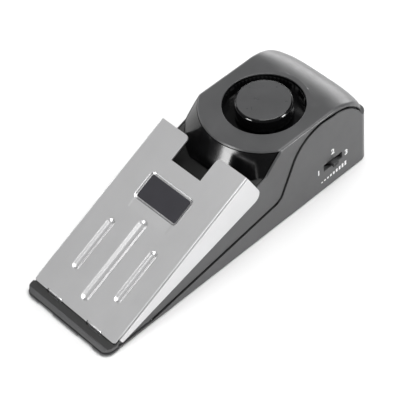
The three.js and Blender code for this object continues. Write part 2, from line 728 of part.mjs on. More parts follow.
function lowerCase() {
  const bayBack = yBack - wall / 2;
  const bays = [-1, 1].map((side) => {
    const inner = side * bayInner;
    const outer = side * (bayInner + bayWall);
    return block(Math.min(inner, outer), Math.max(inner, outer), yDoorFront, bayBack,
      caseBottom, bayTop);
  });
  const rails = [-1, 1].map((side) => {
    const inner = side * (doorHalf + fitGap);
    const outer = side * (doorHalf + railWidth);
    return block(Math.min(inner, outer), Math.max(inner, outer), yDoorFront, bayBack,
      caseBottom, caseBottom + railHeight);
  });
  const bayFront = block(-bayInner - bayWall, bayInner + bayWall, yDoorFront, yDoorFront + bayWall,
    caseBottom, bayTop);
  const leadNotch = block(-terminalSpacing / 2, terminalSpacing / 2, yDoorFront - cutOver,
    yDoorFront + bayWall + cutOver, terminalZ, bayTop + cutOver);
  const standoffs = standoffPoints.map(([x, y]) => post(x, y, floorTop - wall / 2,
    boardBottom - fitGap, standoffRadius));
  const bosses = casePoints.map(([x, y]) => post(x, y, caseBottom, caseBossTop, bossRadius));
  const shell = join([lowerWalls(), ...bays, ...rails, bayFront.subtract(leadNotch), ...standoffs,
    ...bosses]);
  const doorStart = yDoorFront + bayWall;
  const cuts = [
    block(-bayInner, bayInner, doorStart, yBack - wall, 0, topHeight),
    block(-doorHalf - fitGap, doorHalf + fitGap, doorStart, yBack + cutOver, 0, doorTop + fitGap),
    block(-doorHalf - doorTongue - fitGap, doorHalf + doorTongue + fitGap, doorStart, yBack + cutOver,
      tongueBottom - fitGap, doorTop + fitGap),
    planPrism(roundedRectangle(-padWidth / 2 - fitGap, padWidth / 2 + fitGap, padFront - fitGap,
      padFront + padLength + fitGap, padCornerRadius), 0, caseBottom + padRecess + fitGap),
    block(lowerHalf - wall - cutOver, lowerHalf + cutOver, ...sensitivitySlot,
      slotCentreHeight - slotHeight / 2, slotCentreHeight + slotHeight / 2),
    planPrism(roundedRectangle(-powerPocketLength / 2, powerPocketLength / 2,
      yPower - powerPocketWidth / 2, yPower + powerPocketWidth / 2, padCornerRadius),
    0, caseBottom + powerPocketDepth),
    block(-powerSlotLength / 2, powerSlotLength / 2, yPower - powerSlotWidth / 2,
      yPower + powerSlotWidth / 2, 0, topHeight),
  ];
  const feet = [-footX, footX].map((x) => planPrism(roundedRectangle(x - footWidth / 2 - fitGap,
    x + footWidth / 2 + fitGap, yFoot - footLength / 2 - fitGap, yFoot + footLength / 2 + fitGap,
    footWidth / 2), 0, caseBottom + padRecess + fitGap));
  const screwHoles = casePoints.flatMap(([x, y]) => [
    post(x, y, 0, topHeight, screwShankRadius + fitGap),
    post(x, y, 0, caseHeadTop + countersinkClearance, screwHeadRadius + fitGap),
  ]);
  const boardPilots = standoffPoints.map(([x, y]) => post(x, y, floorTop - wall / 2, topHeight,
    smallShankRadius + fitGap));
  const tabHalf = tabWidth / 2 + tabSlotClearance;
  const lipNotches = tabCentres.map((x) => block(x - tabHalf, x + tabHalf, yFront - cutOver,
    yFront + tipInset, 0, topHeight));
  return cut(shell, [...cuts, ...feet, ...screwHoles, ...boardPilots, ...lipNotches]);
}

// Battery door: plate with side tongues and finger grooves
function batteryDoor() {
  const front = yDoorFront + bayWall + fitGap;
  const plate = block(-doorHalf, doorHalf, front, yBack, caseBottom, doorTop);
  const tongues = block(-doorHalf - doorTongue, doorHalf + doorTongue, front, yBack - backFootRadius,
    tongueBottom, doorTop);
  const grips = Array.from({ length: doorGripCount }, (_, i) => {
    const y = yBack - doorGripFromBack - i * doorGripPitch;
    return block(-doorGripLength / 2, doorGripLength / 2, y - doorGripWidth, y,
      0, caseBottom + doorGripDepth);
  });
  return cut(plate.add(tongues), grips);
}

// Grip pad and the two rear feet, which stand on the floor
function padSolid() {
  return planPrism(roundedRectangle(-padWidth / 2, padWidth / 2, padFront, padFront + padLength,
    padCornerRadius), 0, caseBottom + padRecess);
}

function footSolid(x) {
  return planPrism(roundedRectangle(x - footWidth / 2, x + footWidth / 2, yFoot - footLength / 2,
    yFoot + footLength / 2, footWidth / 2 - fitGap / 2), 0, caseBottom + padRecess);
}

// A pan head screw pointing up, with a cross drive in its head
function screw(x, y, headBottom, headRadius, headHeight, shankRadius, length) {
  const headTop = headBottom + headHeight;
  const shank = post(x, y, headTop - headHeight / 2, headTop + length, shankRadius);
  const head = post(x, y, headBottom, headTop, headRadius);
  const arm = headRadius / 2;
  const drive = [
    block(x - arm, x + arm, y - driveWidth / 2, y + driveWidth / 2, headBottom - cutOver,
      headBottom + driveDepth),
    block(x - driveWidth / 2, x + driveWidth / 2, y - arm, y + arm, headBottom - cutOver,
      headBottom + driveDepth),
  ];
  return cut(shank.add(head), drive);
}

// A screw pointing down, such as those that hold the board
function screwDown(x, y, headBottom, length) {
  const shank = post(x, y, headBottom - length, headBottom + smallHeadHeight / 2, smallShankRadius);
  const head = post(x, y, headBottom, headBottom + smallHeadHeight, smallHeadRadius);
  const arm = smallHeadRadius / 2;
  const top = headBottom + smallHeadHeight;
  const drive = [
    block(x - arm, x + arm, y - driveWidth / 2, y + driveWidth / 2, top - driveDepth, top + cutOver),
    block(x - driveWidth / 2, x + driveWidth / 2, y - arm, y + arm, top - driveDepth, top + cutOver),
  ];
  return cut(shank.add(head), drive);
}

// Pressure plate in its own frame: origin on the hinge, Y up along the plate, Z out of its face

// A point of the body's side view in the plate's own frame
function inPlateFrame(y, z) {
  const dy = y - yHinge;
  const dz = z - hingeHeight;
  return [dy * Math.cos(plateAngle) + dz * Math.sin(plateAngle),
    dz * Math.cos(plateAngle) - dy * Math.sin(plateAngle)];
}

// One side flange, deep at the back and shallow at the tip
function flange(side) {
  const front = plateStart + flangeFrontSetback;
  const corner = [plateEnd - flangeCornerRadius, plateTop - flangeBackDepth + flangeCornerRadius];
  const round = arcPoints(...corner, flangeCornerRadius, -Math.PI / 2, 0, roundSteps);
  const points = [[front, plateTop], [front, plateTop - flangeFrontDepth], ...round,
    [plateEnd, plateTop]];
  const x = side * plateHalf;
  const inner = side * (plateHalf - plateThickness);
  return sidePrism(points, Math.min(x, inner), Math.max(x, inner));
}

// One hook tab at the tip, bent down and forward under the tip's roof
function hookTab(x) {
  const hookTop = lipTop + (tipTop - lipTop) / 2;
  const hookBottom = hookTop - plateThickness;
  const back = yHinge + plateFrontSetback + plateThickness;
  const points = [[back, hingeHeight + plateFaceHeight], [yHinge + plateFrontSetback,
    hingeHeight + plateFaceHeight], [yHinge + plateFrontSetback, hookTop],
  [yHinge - tabHookReach, hookTop], [yHinge - tabHookReach, hookBottom], [back, hookBottom]];
  return sidePrism(points.map(([y, z]) => inPlateFrame(y, z)).reverse(), x - tabWidth / 2,
    x + tabWidth / 2);
}

// A long round-ended outline along the plate
function longHole(x, start, length, width) {
  const radius = width / 2;
  return [...arcPoints(x, start + radius, radius, Math.PI, 2 * Math.PI, roundSteps),
    ...arcPoints(x, start + length - radius, radius, 0, Math.PI, roundSteps)];
}

// The grooves as their place, start, length and width
const grooves = [
  [-grooveSpacing, outerGrooveStart, outerGrooveLength, outerGrooveWidth],
  [0, midGrooveStart, midGrooveLength, midGrooveWidth],
  [grooveSpacing, outerGrooveStart, outerGrooveLength, outerGrooveWidth],
];

function pressurePlate() {
  const outer = plateHalf - plateCornerRadius;
  const yCorner = plateStart + plateCornerRadius;
  const sheet = planPrism([[plateHalf, plateEnd], [-plateHalf, plateEnd],
    ...arcPoints(-outer, yCorner, plateCornerRadius, -Math.PI, -Math.PI / 2, cornerSteps),
    ...arcPoints(outer, yCorner, plateCornerRadius, -Math.PI / 2, 0, cornerSteps)],
  plateUnder, plateTop);
  const recessHalf = labelWidth / 2 + labelMargin;
  const recessDeep = labelDepth / 2 + labelMargin;
  const recess = (margin, z0, z1) => planPrism(roundedRectangle(-recessHalf - margin,
    recessHalf + margin, plateStart + labelCentre - recessDeep - margin,
    plateStart + labelCentre + recessDeep + margin, labelCornerRadius + margin), z0, z1);
  const bulges = grooves.map(([x, start, length, width]) => planPrism(longHole(x,
    plateStart + start - plateThickness, length + 2 * plateThickness, width + 2 * plateThickness),
  plateUnder - grooveDepth, plateTop));
  const channels = grooves.map(([x, start, length, width]) => planPrism(longHole(x,
    plateStart + start, length, width), plateTop - grooveDepth, plateTop + cutOver));
  const notchHalf = notchWidth / 2;
  const notchStart = plateEnd - notchDepth;
  const prongTop = plateEnd - prongRadius;
  const leftRound = arcPoints(-notchHalf - prongRadius, prongTop, prongRadius, 0, Math.PI / 2,
    cornerSteps);
  const rightRound = arcPoints(notchHalf + prongRadius, prongTop, prongRadius, Math.PI / 2, Math.PI,
    cornerSteps);
  const notch = planPrism([[-notchHalf, notchStart], [notchHalf, notchStart],
    ...rightRound.reverse(), [notchHalf + prongRadius, plateEnd + cutOver],
    [-notchHalf - prongRadius, plateEnd + cutOver], ...leftRound.reverse()],
  plateUnder - cutOver, plateTop + cutOver);
  const under = recess(plateThickness, plateUnder - recessDepth, plateTop);
  const body = join([sheet, flange(-1), flange(1), ...tabCentres.map(hookTab), ...bulges, under]);
  return cut(body, [...channels, recess(0, plateTop - recessDepth, plateTop + cutOver), notch]);
}

function namePlate() {
  const bottom = plateTop - recessDepth + fitGap;
  const y = plateStart + labelCentre;
  return planPrism(roundedRectangle(-labelWidth / 2, labelWidth / 2, y - labelDepth / 2,
    y + labelDepth / 2, labelCornerRadius, 2), bottom, bottom + labelThickness);
}

// A half space under the plate's sheet, as a solid in the body's frame
function underPlate(clearance) {
  const [cos, sin] = [Math.cos(plateAngle), Math.sin(plateAngle)];
  const level = plateUnder - clearance;
  const at = (s, n) => [yHinge + s * cos - n * sin, hingeHeight + s * sin + n * cos];
  return sidePrism([at(0, -plateEnd), at(plateEnd, -plateEnd), at(plateEnd, level),
    at(0, level)], -plateHalf, plateHalf);
}

// Height of the sheet's underside above the floor at a place along the body
function underPlateAt(y) {
  return hingeHeight + (y - yHinge) * Math.tan(plateAngle) + plateUnder / Math.cos(plateAngle);
}

// Trigger pusher: a pin under the plate that presses the trigger switch
const buttonTop = deckAt(yTrigger) + fitGap;
const buttonBottom = boardTop + fitGap + triggerBaseThickness + buttonTravel + fitGap;

function triggerPusher() {
  const top = underPlateAt(yTrigger);
  const pin = post(triggerX, yTrigger, buttonTop + fitGap, top + pusherFlangeRadius, pusherRadius);
  const head = post(triggerX, yTrigger, top - pusherFlangeRadius * Math.tan(plateAngle)
    - pusherFlangeThickness, top + pusherFlangeRadius, pusherFlangeRadius, roundSegments);
  return pin.add(head).intersect(underPlate(fitGap));
}

// Seat of a return spring: a flange under the plate with a pin inside the spring
const seatBottom = underPlateAt(ySpring) - seatFlangeRadius * Math.tan(plateAngle)
  - seatFlangeThickness;

function springSeat(x) {
  const top = seatBottom + seatFlangeThickness + 2 * seatFlangeRadius;
  const head = post(x, ySpring, seatBottom, top, seatFlangeRadius, roundSegments);
  const pin = post(x, ySpring, seatBottom - seatPinLength, top, seatPinRadius);
  return head.add(pin).intersect(underPlate(fitGap));
}

// Return spring as one unbroken wire between its cup and its seat
function springPoints() {
  const start = cupFloor + fitGap + springWire / 2;
  const end = seatBottom - fitGap - springWire / 2;
  const count = springCurls * springSteps;
  return Array.from({ length: count + 1 }, (_, i) => {
    const angle = (2 * Math.PI * i) / springSteps;
    return [springRadius * Math.cos(angle), springRadius * Math.sin(angle),
      start + ((end - start) * i) / count];
  });
}

function springGeometry(x) {
  const rings = springPoints();
  const positions = [];
  const index = [];
  const radius = springWire / 2;
  rings.forEach(([rx, ry, z], i) => {
    const angle = (2 * Math.PI * i) / springSteps;
    for (let j = 0; j < springSides; j += 1) {
      const turn = (2 * Math.PI * j) / springSides;
      const out = radius * Math.cos(turn);
      positions.push(x + rx + out * Math.cos(angle), ySpring + ry + out * Math.sin(angle),
        z + radius * Math.sin(turn));
    }
  });
  for (let i = 0; i < rings.length - 1; i += 1) {
    for (let j = 0; j < springSides; j += 1) {
      const next = (j + 1) % springSides;
      const [a, b] = [i * springSides + j, i * springSides + next];
      const [c, d] = [a + springSides, b + springSides];
      index.push(a, d, b, a, c, d);
    }
  }
  const last = (rings.length - 1) * springSides;
  for (let j = 1; j < springSides - 1; j += 1) {
    index.push(0, j, j + 1);
    index.push(last, last + j + 1, last + j);
  }
  const geometry = new THREE.BufferGeometry();
  geometry.setAttribute("position", new THREE.Float32BufferAttribute(positions, 3));
  geometry.setIndex(index);
  geometry.computeVertexNormals();
  return geometry;
}

// Least clear gap between one curl and the next, measured on the points of the wire
function springGap() {
  const points = springPoints().map((p) => new THREE.Vector3(...p));
  let least = Infinity;
  for (let i = 0; i < points.length; i += 1) {
    for (let j = i + springSteps - 1; j < points.length; j += 1) {
      least = Math.min(least, points[i].distanceTo(points[j]) - springWire);
    }
  }
  return least;
}
console.log(`least gap of a return spring to itself: ${springGap().toFixed(2)} mm`);

// Siren cap: a cup on small feet, upside down over the sound hole
function sirenCap() {
  const footTop = wellFloorTop + fitGap + capFootHeight;
  const top = topHeight + capProud;
  const inner = capRadius - capWall;
  const edge = arcPoints(capRadius - capEdgeRadius, top - capEdgeRadius, capEdgeRadius, 0,
    Math.PI / 2, edgeSteps);
  const cup = turned(0, ySiren, [[0, top - capWall], [inner, top - capWall], [inner, footTop],
    [capRadius, footTop], ...edge, [0, top]], fineSegments);
  const feet = Array.from({ length: capFootCount }, (_, i) => {
    const angle = (2 * Math.PI * i) / capFootCount + Math.PI / 2;
    const middle = capRadius - capWall / 2;
    return post(middle * Math.cos(angle), ySiren + middle * Math.sin(angle),
      wellFloorTop + fitGap, footTop + capWall, capFootWidth / 2 - fitGap);
  });
  const ring = turned(0, ySiren, [[inner, 0], [capRadius, 0], [capRadius, topHeight],
    [inner, topHeight], [inner, 0]], fineSegments);
  return cup.add(join(feet).intersect(ring));
}

// Sounder: brass disc with its ceramic face, seal ring and the chamber behind
const discTop = chamberTop - fitGap - sealThickness;
const stepTop = discTop - piezoThickness - fitGap;
const ceramicTop = discTop - piezoThickness - fitGap;
const ceramicBottom = ceramicTop - ceramicThickness;

function sealRing() {
  const outer = piezoRadius;
  const inner = outer - sealWidth;
  return turned(0, ySiren, [[inner, discTop + fitGap], [outer, discTop + fitGap],
    [outer, chamberTop], [inner, chamberTop], [inner, discTop + fitGap]]);
}

function soundChamber() {
  const inner = piezoRadius - chamberStep;
  const rim = piezoRadius + fitGap;
  const cup = turned(0, ySiren, [[0, chamberBottom], [chamberRadius, chamberBottom],
    [chamberRadius, chamberTop], [rim, chamberTop], [rim, stepTop], [inner, stepTop],
    [inner, chamberBottom + chamberFloor], [0, chamberBottom + chamberFloor]]);
  const half = chamberEarWidth / 2;
  const ears = chamberPoints.map(([x, y]) => {
    const start = Math.min(y, ySiren + Math.sign(y - ySiren) * (chamberRadius - wall / 2));
    const end = Math.max(y, ySiren + Math.sign(y - ySiren) * (chamberRadius - wall / 2));
    return block(x - half, x + half, start, end, earBottom, chamberTop)
      .add(post(x, y, earBottom, chamberTop, half));
  });
  const bore = turned(0, ySiren, [[0, chamberBottom + chamberFloor],
    [inner, chamberBottom + chamberFloor], [inner, stepTop], [rim, stepTop],
    [rim, chamberTop + cutOver], [0, chamberTop + cutOver]]);
  const holes = chamberPoints.map(([x, y]) => post(x, y, 0, topHeight, smallShankRadius + fitGap));
  const [gateLow, gateHigh] = [sirenPads[0] - leadPitch / 2, sirenPads[1] + leadPitch / 2];
  const gate = block(gateLow, gateHigh, ySiren - chamberRadius - cutOver, ySiren - piezoRadius / 2,
    chamberBottom + chamberFloor, chamberBottom + chamberFloor + chamberGateHeight);
  return cut(join([cup, ...ears]), [bore, gate, ...holes]);
}

// Battery with its two snap terminals and the snap that grips them
function batteryBody() {
  const half = batteryWidth / 2;
  const points = roundedRectangle(-half, half, batteryBottom, batteryTop, batteryEdgeRadius,
    edgeSteps);
  const geometry = new THREE.ExtrudeGeometry(outline(points), {
    depth: batteryLength, bevelEnabled: false });
  geometry.rotateX(Math.PI / 2);
  geometry.translate(0, yBatteryBack, 0);
  return solid(geometry);
}

function rodAlong(x, z, y0, y1, radius, segments = smallSegments) {
  const geometry = new THREE.CylinderGeometry(radius, radius, y1 - y0, segments);
  geometry.translate(x, (y0 + y1) / 2, z);
  return solid(geometry);
}


function terminal(x, radius) {
  return rodAlong(x, terminalZ, yBatteryFront - terminalHeight, yBatteryFront - fitGap, radius);
}

function snapConnector() {
  const z0 = terminalZ - snapHeight / 2;
  const half = batteryWidth / 2 - snapSideInset;
  return block(-half, half, snapBack - fitGap - snapThickness, snapBack - fitGap,
    z0, z0 + snapHeight);
}

function batteryCushion() {
  return block(-cushionWidth / 2, cushionWidth / 2, ySiren - cushionLength / 2,
    ySiren + cushionLength / 2, batteryTop + fitGap, chamberBottom - fitGap);
}

// Main board with its mounting holes
function mainBoard() {
  const board = planPrism([[-boardHalf, yBoardFront + boardCornerCut],
    [-boardHalf + boardCornerCut, yBoardFront], [boardHalf - boardCornerCut, yBoardFront],
    [boardHalf, yBoardFront + boardCornerCut], [boardHalf, yBoardBack], [-boardHalf, yBoardBack]],
  boardBottom, boardTop);
  const bossNotches = casePoints.map(([x, y]) => post(x, y, 0, topHeight, bossRadius + boardEdgeGap));
  return cut(board, [...bossNotches, ...standoffPoints.map(([x, y]) => post(x, y, 0, topHeight,
    smallShankRadius + fitGap))]);
}

// Trigger switch: an open box with the button that slides in it
function triggerSwitch() {
  const half = triggerSwitchSize / 2;
  const bottom = boardTop + fitGap;
  const top = bottom + triggerSwitchHeight;
  const body = block(triggerX - half, triggerX + half, yTrigger - half, yTrigger + half, bottom, top);
  return body.subtract(post(triggerX, yTrigger, bottom + triggerBaseThickness, top + cutOver,
    triggerButtonRadius + fitGap));
}

function triggerButton() {
  return post(triggerX, yTrigger, buttonBottom, buttonTop, triggerButtonRadius);
}

// Parts on the board, each standing on it
const onBoard = boardTop + fitGap;
const boardPlace = ([across, along]) => [across * boardWidth, yBoardBack - along * boardLength];
const capacitorPlaces = capacitorShares.map(boardPlace);
const resistorPlaces = resistorShares.map(boardPlace);

function controlChip() {
  const [x, y] = boardPlace(chipShares);
  const dome = [[0, onBoard], [chipRadius, onBoard], [chipRadius * Math.SQRT1_2,
    onBoard + chipHeight * Math.SQRT1_2], [0, onBoard + chipHeight]];
  return turned(x, y, dome, smallSegments);
}

function stepUpCoil() {
  const [x, y] = boardPlace(coilShares);
  const top = onBoard + coilHeight;
  return turned(x, y, [[0, onBoard], [coilRadius, onBoard], [coilRadius, onBoard + coilFlange],
    [coilCoreRadius, onBoard + coilFlange], [coilCoreRadius, top - coilFlange],
    [coilRadius, top - coilFlange], [coilRadius, top], [0, top]], smallSegments);
}

// The copper winding that fills the coil's waist
function coilWinding() {
  const [x, y] = boardPlace(coilShares);
  const bottom = onBoard + coilFlange + fitGap;
  const top = onBoard + coilHeight - coilFlange - fitGap;
  const inner = coilCoreRadius + fitGap;
  const outer = coilRadius - fitGap;
  return turned(x, y, [[inner, bottom], [outer, bottom], [outer, top], [inner, top],
    [inner, bottom]], smallSegments);
}

function transistor() {
  const [x, y] = boardPlace(transistorShares);
  const z = onBoard + legHeight;
  const radius = transistorWidth / 2;
  const body = post(x, y, z, z + transistorHeight, radius, smallSegments)
    .intersect(block(x - radius, x + radius, y - radius, y - radius + transistorDepth, z,
      z + transistorHeight));
  const legs = [-1, 0, 1].map((i) => block(x + i * radius / 2 - resistorLeadRadius,
    x + i * radius / 2 + resistorLeadRadius, y - resistorLeadRadius, y + resistorLeadRadius,
    onBoard, z + legHeight));
  return join([body, ...legs]);
}

function capacitor([x, y]) {
  return post(x, y, onBoard, onBoard + capacitorHeight, capacitorRadius);
}

function resistor([x, y]) {
  const z = onBoard + resistorRadius;
  const half = resistorLength / 2;
  const body = rodAcross(x - half, x + half, y, z, resistorRadius, leadSides);
  const leads = rodAcross(x - half - resistorLead, x + half + resistorLead, y, z,
    resistorLeadRadius, leadSides);
  const legs = [-1, 1].map((side) => post(x + side * (half + resistorLead), y, onBoard, z
    + resistorLeadRadius, resistorLeadRadius, leadSides));
  return join([body, leads, ...legs]);
}

function vibrationSensor() {
  const [x, y] = boardPlace(sensorShares);
  const half = sensorLength / 2;
  const z = onBoard + sensorRadius;
  const body = rodAcross(x - half, x + half, y, z, sensorRadius);
  const legs = [-1, 1].map((side) => post(x + side * (half - resistorLead), y, onBoard, z,
    resistorLeadRadius, leadSides));
  return join([body, ...legs]);
}

// Sensitivity switch, its side board and the slider that shows in the slot
const sideBoardInner = bayInner + bayWall + fitGap;
const sideBoardOuter = sideBoardInner + sideBoardThickness;
const switchInner = sideBoardOuter + fitGap;
const switchOuter = lowerInnerHalf - fitGap;
const switchHalfLength = switchBodyLength / 2;

function sideBoard() {
  return block(sideBoardInner, sideBoardOuter, ySensitivity - switchHalfLength,
    ySensitivity + switchHalfLength, slotCentreHeight - sideBoardHeight / 2,
    slotCentreHeight + sideBoardHeight / 2);
}

function sensitivitySwitch() {
  const body = block(switchInner, switchOuter, ySensitivity - switchHalfLength,
    ySensitivity + switchHalfLength, slotCentreHeight - switchBodyHeight / 2,
    slotCentreHeight + switchBodyHeight / 2);
  const reach = sliderFootLength / 2 + sensitivityTravel + fitGap;
  return body.subtract(block(switchOuter - switchChannelDepth, switchOuter + cutOver,
    ySensitivity - reach, ySensitivity + reach, slotCentreHeight - sliderFootHeight / 2 - fitGap,
    slotCentreHeight + sliderFootHeight / 2 + fitGap));
}

function sensitivitySlider() {
  const footInner = switchOuter - switchChannelDepth + fitGap;
  const foot = block(footInner, footInner + sliderFootDepth + fitGap,
    ySensitivity - sliderFootLength / 2, ySensitivity + sliderFootLength / 2,
    slotCentreHeight - sliderFootHeight / 2, slotCentreHeight + sliderFootHeight / 2);
  const knob = block(footInner + sliderFootDepth, lowerHalf + knobProud,
    ySensitivity - knobLength / 2, ySensitivity + knobLength / 2,
    slotCentreHeight - knobHeight / 2, slotCentreHeight + knobHeight / 2);
  const reachable = block(0, switchOuter + fitGap, ySensitivity - sliderFootLength / 2,
    ySensitivity + sliderFootLength / 2, slotCentreHeight - sliderFootHeight / 2,
    slotCentreHeight + sliderFootHeight / 2);
  const outsideBody = block(switchOuter + fitGap, lowerHalf + knobProud,
    ySensitivity - knobLength / 2, ySensitivity + knobLength / 2,
    slotCentreHeight - knobHeight / 2, slotCentreHeight + knobHeight / 2);
  return foot.add(knob.intersect(reachable.add(outsideBody)));
}

// Power switch and its slider, reached from below; the slider rests at its off end
const powerBottom = floorTop + fitGap;
const powerTop = powerBottom + powerBodyHeight;
const powerRest = -powerTravel / 2;

function powerSwitch() {
  const body = block(-powerBodyLength / 2, powerBodyLength / 2, yPower - powerBodyWidth / 2,
    yPower + powerBodyWidth / 2, powerBottom, powerTop);
  const half = powerSlotLength / 2;
  return body.subtract(block(-half, half, yPower - powerKnobWidth / 2 - fitGap,
    yPower + powerKnobWidth / 2 + fitGap, powerBottom - cutOver, powerBottom + powerBodyHeight / 2));
}

function powerSlider() {
  const x0 = powerRest - powerKnobLength / 2;
  const x1 = powerRest + powerKnobLength / 2;
  const bottom = caseBottom + fitGap;
  const body = block(x0, x1, yPower - powerKnobWidth / 2, yPower + powerKnobWidth / 2, bottom,
    powerBottom + powerBodyHeight / 2 - fitGap);
  const groove = block(powerRest - powerRidge, powerRest + powerRidge, yPower - powerKnobWidth,
    yPower + powerKnobWidth, 0, bottom + powerRidge);
  return body.subtract(groove);
}

// Leads: each ends on its own pad near the back edge of the board
const leadPads = (first) => [first, first + 1].map((step) => (step - (leadCount - 1) / 2) * leadPitch);
const sirenPads = leadPads(0);
const batteryPads = leadPads(2);
const powerPads = leadPads(leadCount - 2);

// The last stretch of a lead, straight down onto its pad
function leadEnd(x) {
  const y = yBoardBack - leadPadInset;
  return [[x, y, onBoard + leadBend], [x, y, onBoard]];
}

// From the snap, over the wall of the battery bay
function batteryRoute(x) {
  const z = terminalZ + snapLeadShare * snapHeight;
  return [[x, snapFront - fitGap, z], [x, yDoorFront - leadBend, z],
    [x, yDoorFront - leadSwoop, z - leadBend], ...leadEnd(x)];
}

// From the sounder, out of the chamber's gate and down past the battery bay
function sirenRoute(x, startY, startZ) {
  const z = chamberBottom + chamberFloor + chamberGateHeight / 2;
  return [[x, startY, startZ], [x, startY, z + leadRadius], [x, startY - 2 * leadRadius, z],
    [x, ySiren - chamberRadius - leadBend, z], [x, yDoorFront - leadBend, bayTop], ...leadEnd(x)];
}

// From the top of the power switch, in a short arch
function powerRoute(x, startX) {
  return [[startX, yPower, powerTop + fitGap], [startX, yPower, powerTop + leadBend / 2],
    [(x + startX) / 2, yBoardBack, powerTop + leadBend], ...leadEnd(x)];
}

const leadRoutes = {
  battery_lead_red: batteryRoute(batteryPads[1]),
  battery_lead_black: batteryRoute(batteryPads[0]),
  siren_lead_signal: sirenRoute(sirenPads[1], ySiren - ceramicRadius / 2,
    ceramicBottom - fitGap),
  siren_lead_return: sirenRoute(sirenPads[0], ySiren - ceramicRadius + leadRadius,
    discTop - piezoThickness - fitGap),
  power_lead_in: powerRoute(powerPads[0], powerLeadShares[0] * powerBodyLength),
  power_lead_out: powerRoute(powerPads[1], powerLeadShares[1] * powerBodyLength),
};

function leadTube(points) {
  return tubeAlong(points, leadRadius, leadSides);
}

// The object, from the floor up
const object = new THREE.Group();
object.add(piece("lower_case", lowerCase(), satinGrey));
const upper = upperWhole();
object.add(piece("upper_case", upper.subtract(deckZone(fitGap)), satinGrey));
object.add(piece("siren_deck", upper.intersect(deckZone(0)), glossBlack));
object.add(piece("battery_door", batteryDoor(), satinGrey));
object.add(piece("grip_pad", padSolid(), rubberBlack));
object.add(piece("rear_foot_left", footSolid(-footX), rubberBlack));
object.add(piece("rear_foot_right", footSolid(footX), rubberBlack));
casePoints.forEach(([x, y], i) => object.add(piece(`case_screw_${i + 1}`, screw(x, y, caseBottom,
  screwHeadRadius, screwHeadHeight, screwShankRadius, screwLength), zincSteel)));

const plateGroup = new THREE.Group();
plateGroup.position.set(0, yHinge, hingeHeight);
plateGroup.rotation.x = plateAngle;
plateGroup.add(piece("pressure_plate", pressurePlate(), steelPlate));
plateGroup.add(piece("name_plate", namePlate(), labelViolet));
object.add(plateGroup);
object.add(piece("trigger_pusher", triggerPusher(), blackPlastic));
["left", "right"].forEach((side, i) => {
  object.add(piece(`spring_seat_${side}`, springSeat(springPlaces[i]), blackPlastic));
  object.add(piece(`return_spring_${side}`, springGeometry(springPlaces[i]), zincSteel));
});

object.add(piece("siren_cap", sirenCap(), satinGrey));
object.add(piece("siren_seal", sealRing(), rubberBlack));
object.add(piece("siren_disc", post(0, ySiren, discTop - piezoThickness, discTop, piezoRadius,
  roundSegments), brass));
object.add(piece("siren_ceramic", post(0, ySiren, ceramicBottom, ceramicTop, ceramicRadius,
  roundSegments), ceramicWhite));
object.add(piece("sound_chamber", soundChamber(), blackPlastic));
chamberPoints.forEach(([x, y], i) => object.add(piece(`chamber_screw_${i + 1}`, screw(x, y,
  earBottom - fitGap - smallHeadHeight, smallHeadRadius, smallHeadHeight, smallShankRadius,
  smallScrewLength), zincSteel)));

object.add(piece("battery", batteryBody(), batteryBlue));
object.add(piece("battery_terminal_plus", terminal(terminalSpacing / 2, plusTerminalRadius), zincSteel));
object.add(piece("battery_terminal_minus", terminal(-terminalSpacing / 2, minusTerminalRadius),
  zincSteel));
object.add(piece("battery_snap", snapConnector(), blackPlastic));
object.add(piece("battery_cushion", batteryCushion(), foamGrey));

object.add(piece("main_board", mainBoard(), boardGreen));
standoffPoints.forEach(([x, y], i) => object.add(piece(`board_screw_${i + 1}`, screwDown(x, y,
  boardTop + fitGap, boardThickness + boardStandoff + fitGap), zincSteel)));
object.add(piece("trigger_switch", triggerSwitch(), blackPlastic));
object.add(piece("trigger_button", triggerButton(), ceramicWhite));
object.add(piece("control_chip", controlChip(), blackPlastic));
object.add(piece("step_up_coil", stepUpCoil(), blackPlastic));
object.add(piece("coil_winding", coilWinding(), copperWire));
object.add(piece("driver_transistor", transistor(), blackPlastic));
capacitorPlaces.forEach((place, i) => object.add(piece(`capacitor_${i + 1}`, capacitor(place),
  labelViolet)));
resistorPlaces.forEach((place, i) => object.add(piece(`resistor_${i + 1}`, resistor(place),
  resistorTan)));
object.add(piece("vibration_sensor", vibrationSensor(), zincSteel));

object.add(piece("sensitivity_board", sideBoard(), boardGreen));
object.add(piece("sensitivity_switch", sensitivitySwitch(), zincSteel));
object.add(piece("sensitivity_slider", sensitivitySlider(), blackPlastic));
object.add(piece("power_switch", powerSwitch(), zincSteel));
object.add(piece("power_slider", powerSlider(), blackPlastic));

const leadFinishes = [leadRed, leadBlack, leadRed, leadBlack, leadRed, leadBlack];
Object.entries(leadRoutes).forEach(([name, points], i) => object.add(piece(name, leadTube(points),
  leadFinishes[i])));

export default object;
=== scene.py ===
"""Looks of a door stop alarm: its shells, sheet steel plate, small parts, finishes, studio and camera.

X runs across the body, Y from the thin tip to the thick end and Z up from the floor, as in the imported
frame. Sizes are in millimetres until a piece is finished, and then in metres.
"""
import json
import logging
import math
from collections.abc import Callable, Sequence
from dataclasses import dataclass
from enum import Enum

import bmesh
import bpy
from mathutils import Matrix, Vector


